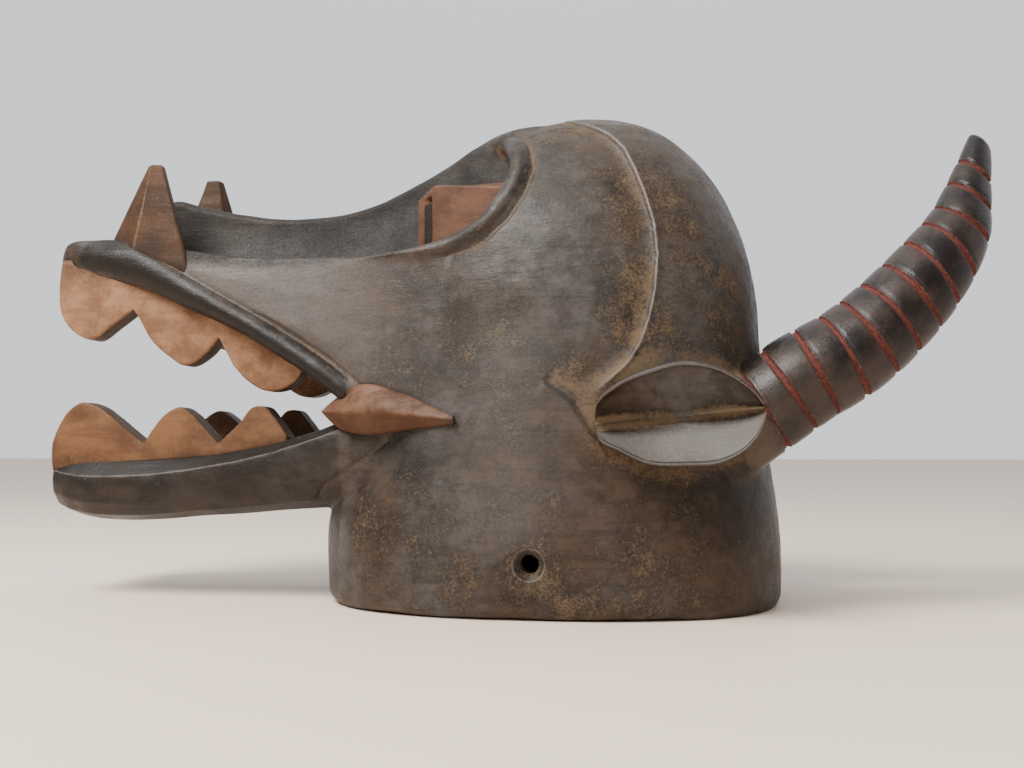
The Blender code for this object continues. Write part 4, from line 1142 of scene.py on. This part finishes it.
def dress(piece, finish):
    # each piece takes its finish, rides on the one body and shows in place of the solid
    piece.data.materials.clear()
    piece.data.materials.append(finish)
    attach(piece, "root")
    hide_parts("mask")
    return piece


# Making.

body, room = makeBody()
waxed = waxedMaterial()
ochre = {name: ochreMaterial(name) for name in ochreFinish}
hornWood = hornMaterial()
dress(body, waxed)

for name, side, teeth in (("upperTeethNear", -1, "upper"), ("upperTeethFar", 1, "upperFar"),
                          ("lowerTeethNear", -1, "lower"), ("lowerTeethFar", 1, "lowerFar")):
    jaw = name[:5]
    row = toothRow(name, side, toothRows[teeth], toothRows[jaw + "Root"], toothRows[jaw + "Outer"])
    dress(row, ochre[jaw + "ToothWood"])
print("stage: teeth set")

for side, ending in ((-1, "Near"), (1, "Far")):
    far = side > 0
    tusk = noseTusk("noseTusk" + ending, side, tusks["farRise"] * far, tusks["farShift"] * far)
    dress(tusk, ochre["tuskWood"])
    dress(cornerTusk("cornerTusk" + ending, side), ochre["cornerTuskWood"])
    dress(cutAway(eyeBlock("eye" + ending, side), room), ochre["eyeWood"])
    dress(earLeaf("ear" + ending, side), waxed)
    dress(cutAway(hornSkin("horn" + ending, side, horns["farDrop"] * far), room), hornWood)
discard(room)
print("stage: tusks, eyes, ears and horns set")


# Floor, light and camera.

studio = {
    "floor": (0.84, 0.68, 0.555), "air": (0.95, 0.965, 1.0),
    "airFront": 0.22, "airBack": 1.10,       # strength before and behind the mask
    "airTop": 0.45,                          # added from above
    "lights": [              # name, place, aim, size, power, colour
        ("skyLight", (-0.75, -0.95, 1.60), (-0.02, 0.0, 0.2), 0.9, 75, (1.0, 0.98, 0.95)),
        ("frontLight", (0.15, -1.7, 0.80), (0.02, 0.0, 0.15), 1.0, 9, (1.0, 0.98, 0.96)),
    ],
    "cameraAt": (0.109, -0.80, 0.113), "turn": 7.083, "pitch": 3.702, "lens": 35.86,
    "floorHalf": 12.0, "floorRoughness": 0.55,
}


def plainFloor():
    # one wide level face
    made, tree, shader, where = startMaterial("paleFloor")
    tone = mixed(tree, cloud(tree, where, 3, 4), tuple(0.95 * c for c in studio["floor"]), studio["floor"])
    tree.links.new(tone, shader.inputs["Base Color"])
    shader.inputs["Roughness"].default_value = studio["floorRoughness"]
    mesh = bpy.data.meshes.new("floor")
    half = studio["floorHalf"]
    corners = [(-half, -half, 0), (half, -half, 0), (half, half, 0), (-half, half, 0)]
    mesh.from_pydata(corners, [], [(0, 1, 2, 3)])
    mesh.materials.append(made)
    floor = linked("floor", mesh)


def aimed(obj, place, target):
    # turned so that its own down points along target - place
    obj.location = place
    way = np.array(target) - np.array(place)
    obj.rotation_euler = (math.atan2(math.hypot(way[0], way[1]), -way[2]), 0, math.atan2(-way[0], way[1]))


plainFloor()
world = bpy.data.worlds.new("studio air")
bpy.context.scene.world = world
world.use_nodes = True
air = world.node_tree.nodes["Background"]
way = put(world.node_tree, "SeparateXYZ", Vector=put(world.node_tree, "TexCoord").outputs["Generated"])
behind = ramp(world.node_tree, way.outputs["Y"], -0.45, 0.35, studio["airFront"], studio["airBack"])
above = ramp(world.node_tree, way.outputs["Z"], 0.35, 0.95, 0.0, studio["airTop"])
air.inputs["Color"].default_value = (*studio["air"], 1)
world.node_tree.links.new(figure(world.node_tree, "ADD", behind, above), air.inputs["Strength"])
for name, place, target, size, power, colour in studio["lights"]:
    lamp = bpy.data.lights.new(name, "AREA")
    lamp.size, lamp.energy, lamp.color = size, power, colour
    aimed(linked(name, lamp), place, target)

cameraData = bpy.data.cameras.new("camera")
cameraData.lens, cameraData.sensor_width, cameraData.sensor_fit = studio["lens"], 36.0, "HORIZONTAL"
cameraData.clip_start, cameraData.clip_end = 0.01, 100
camera = linked("camera", cameraData)
camera.location = (studio["cameraAt"][0] + shiftX, studio["cameraAt"][1], studio["cameraAt"][2])
camera.rotation_euler = (math.radians(90 + studio["pitch"]), 0, math.radians(studio["turn"]))
bpy.context.scene.camera = camera
print("stage: studio set")

bpy.context.view_layer.update()
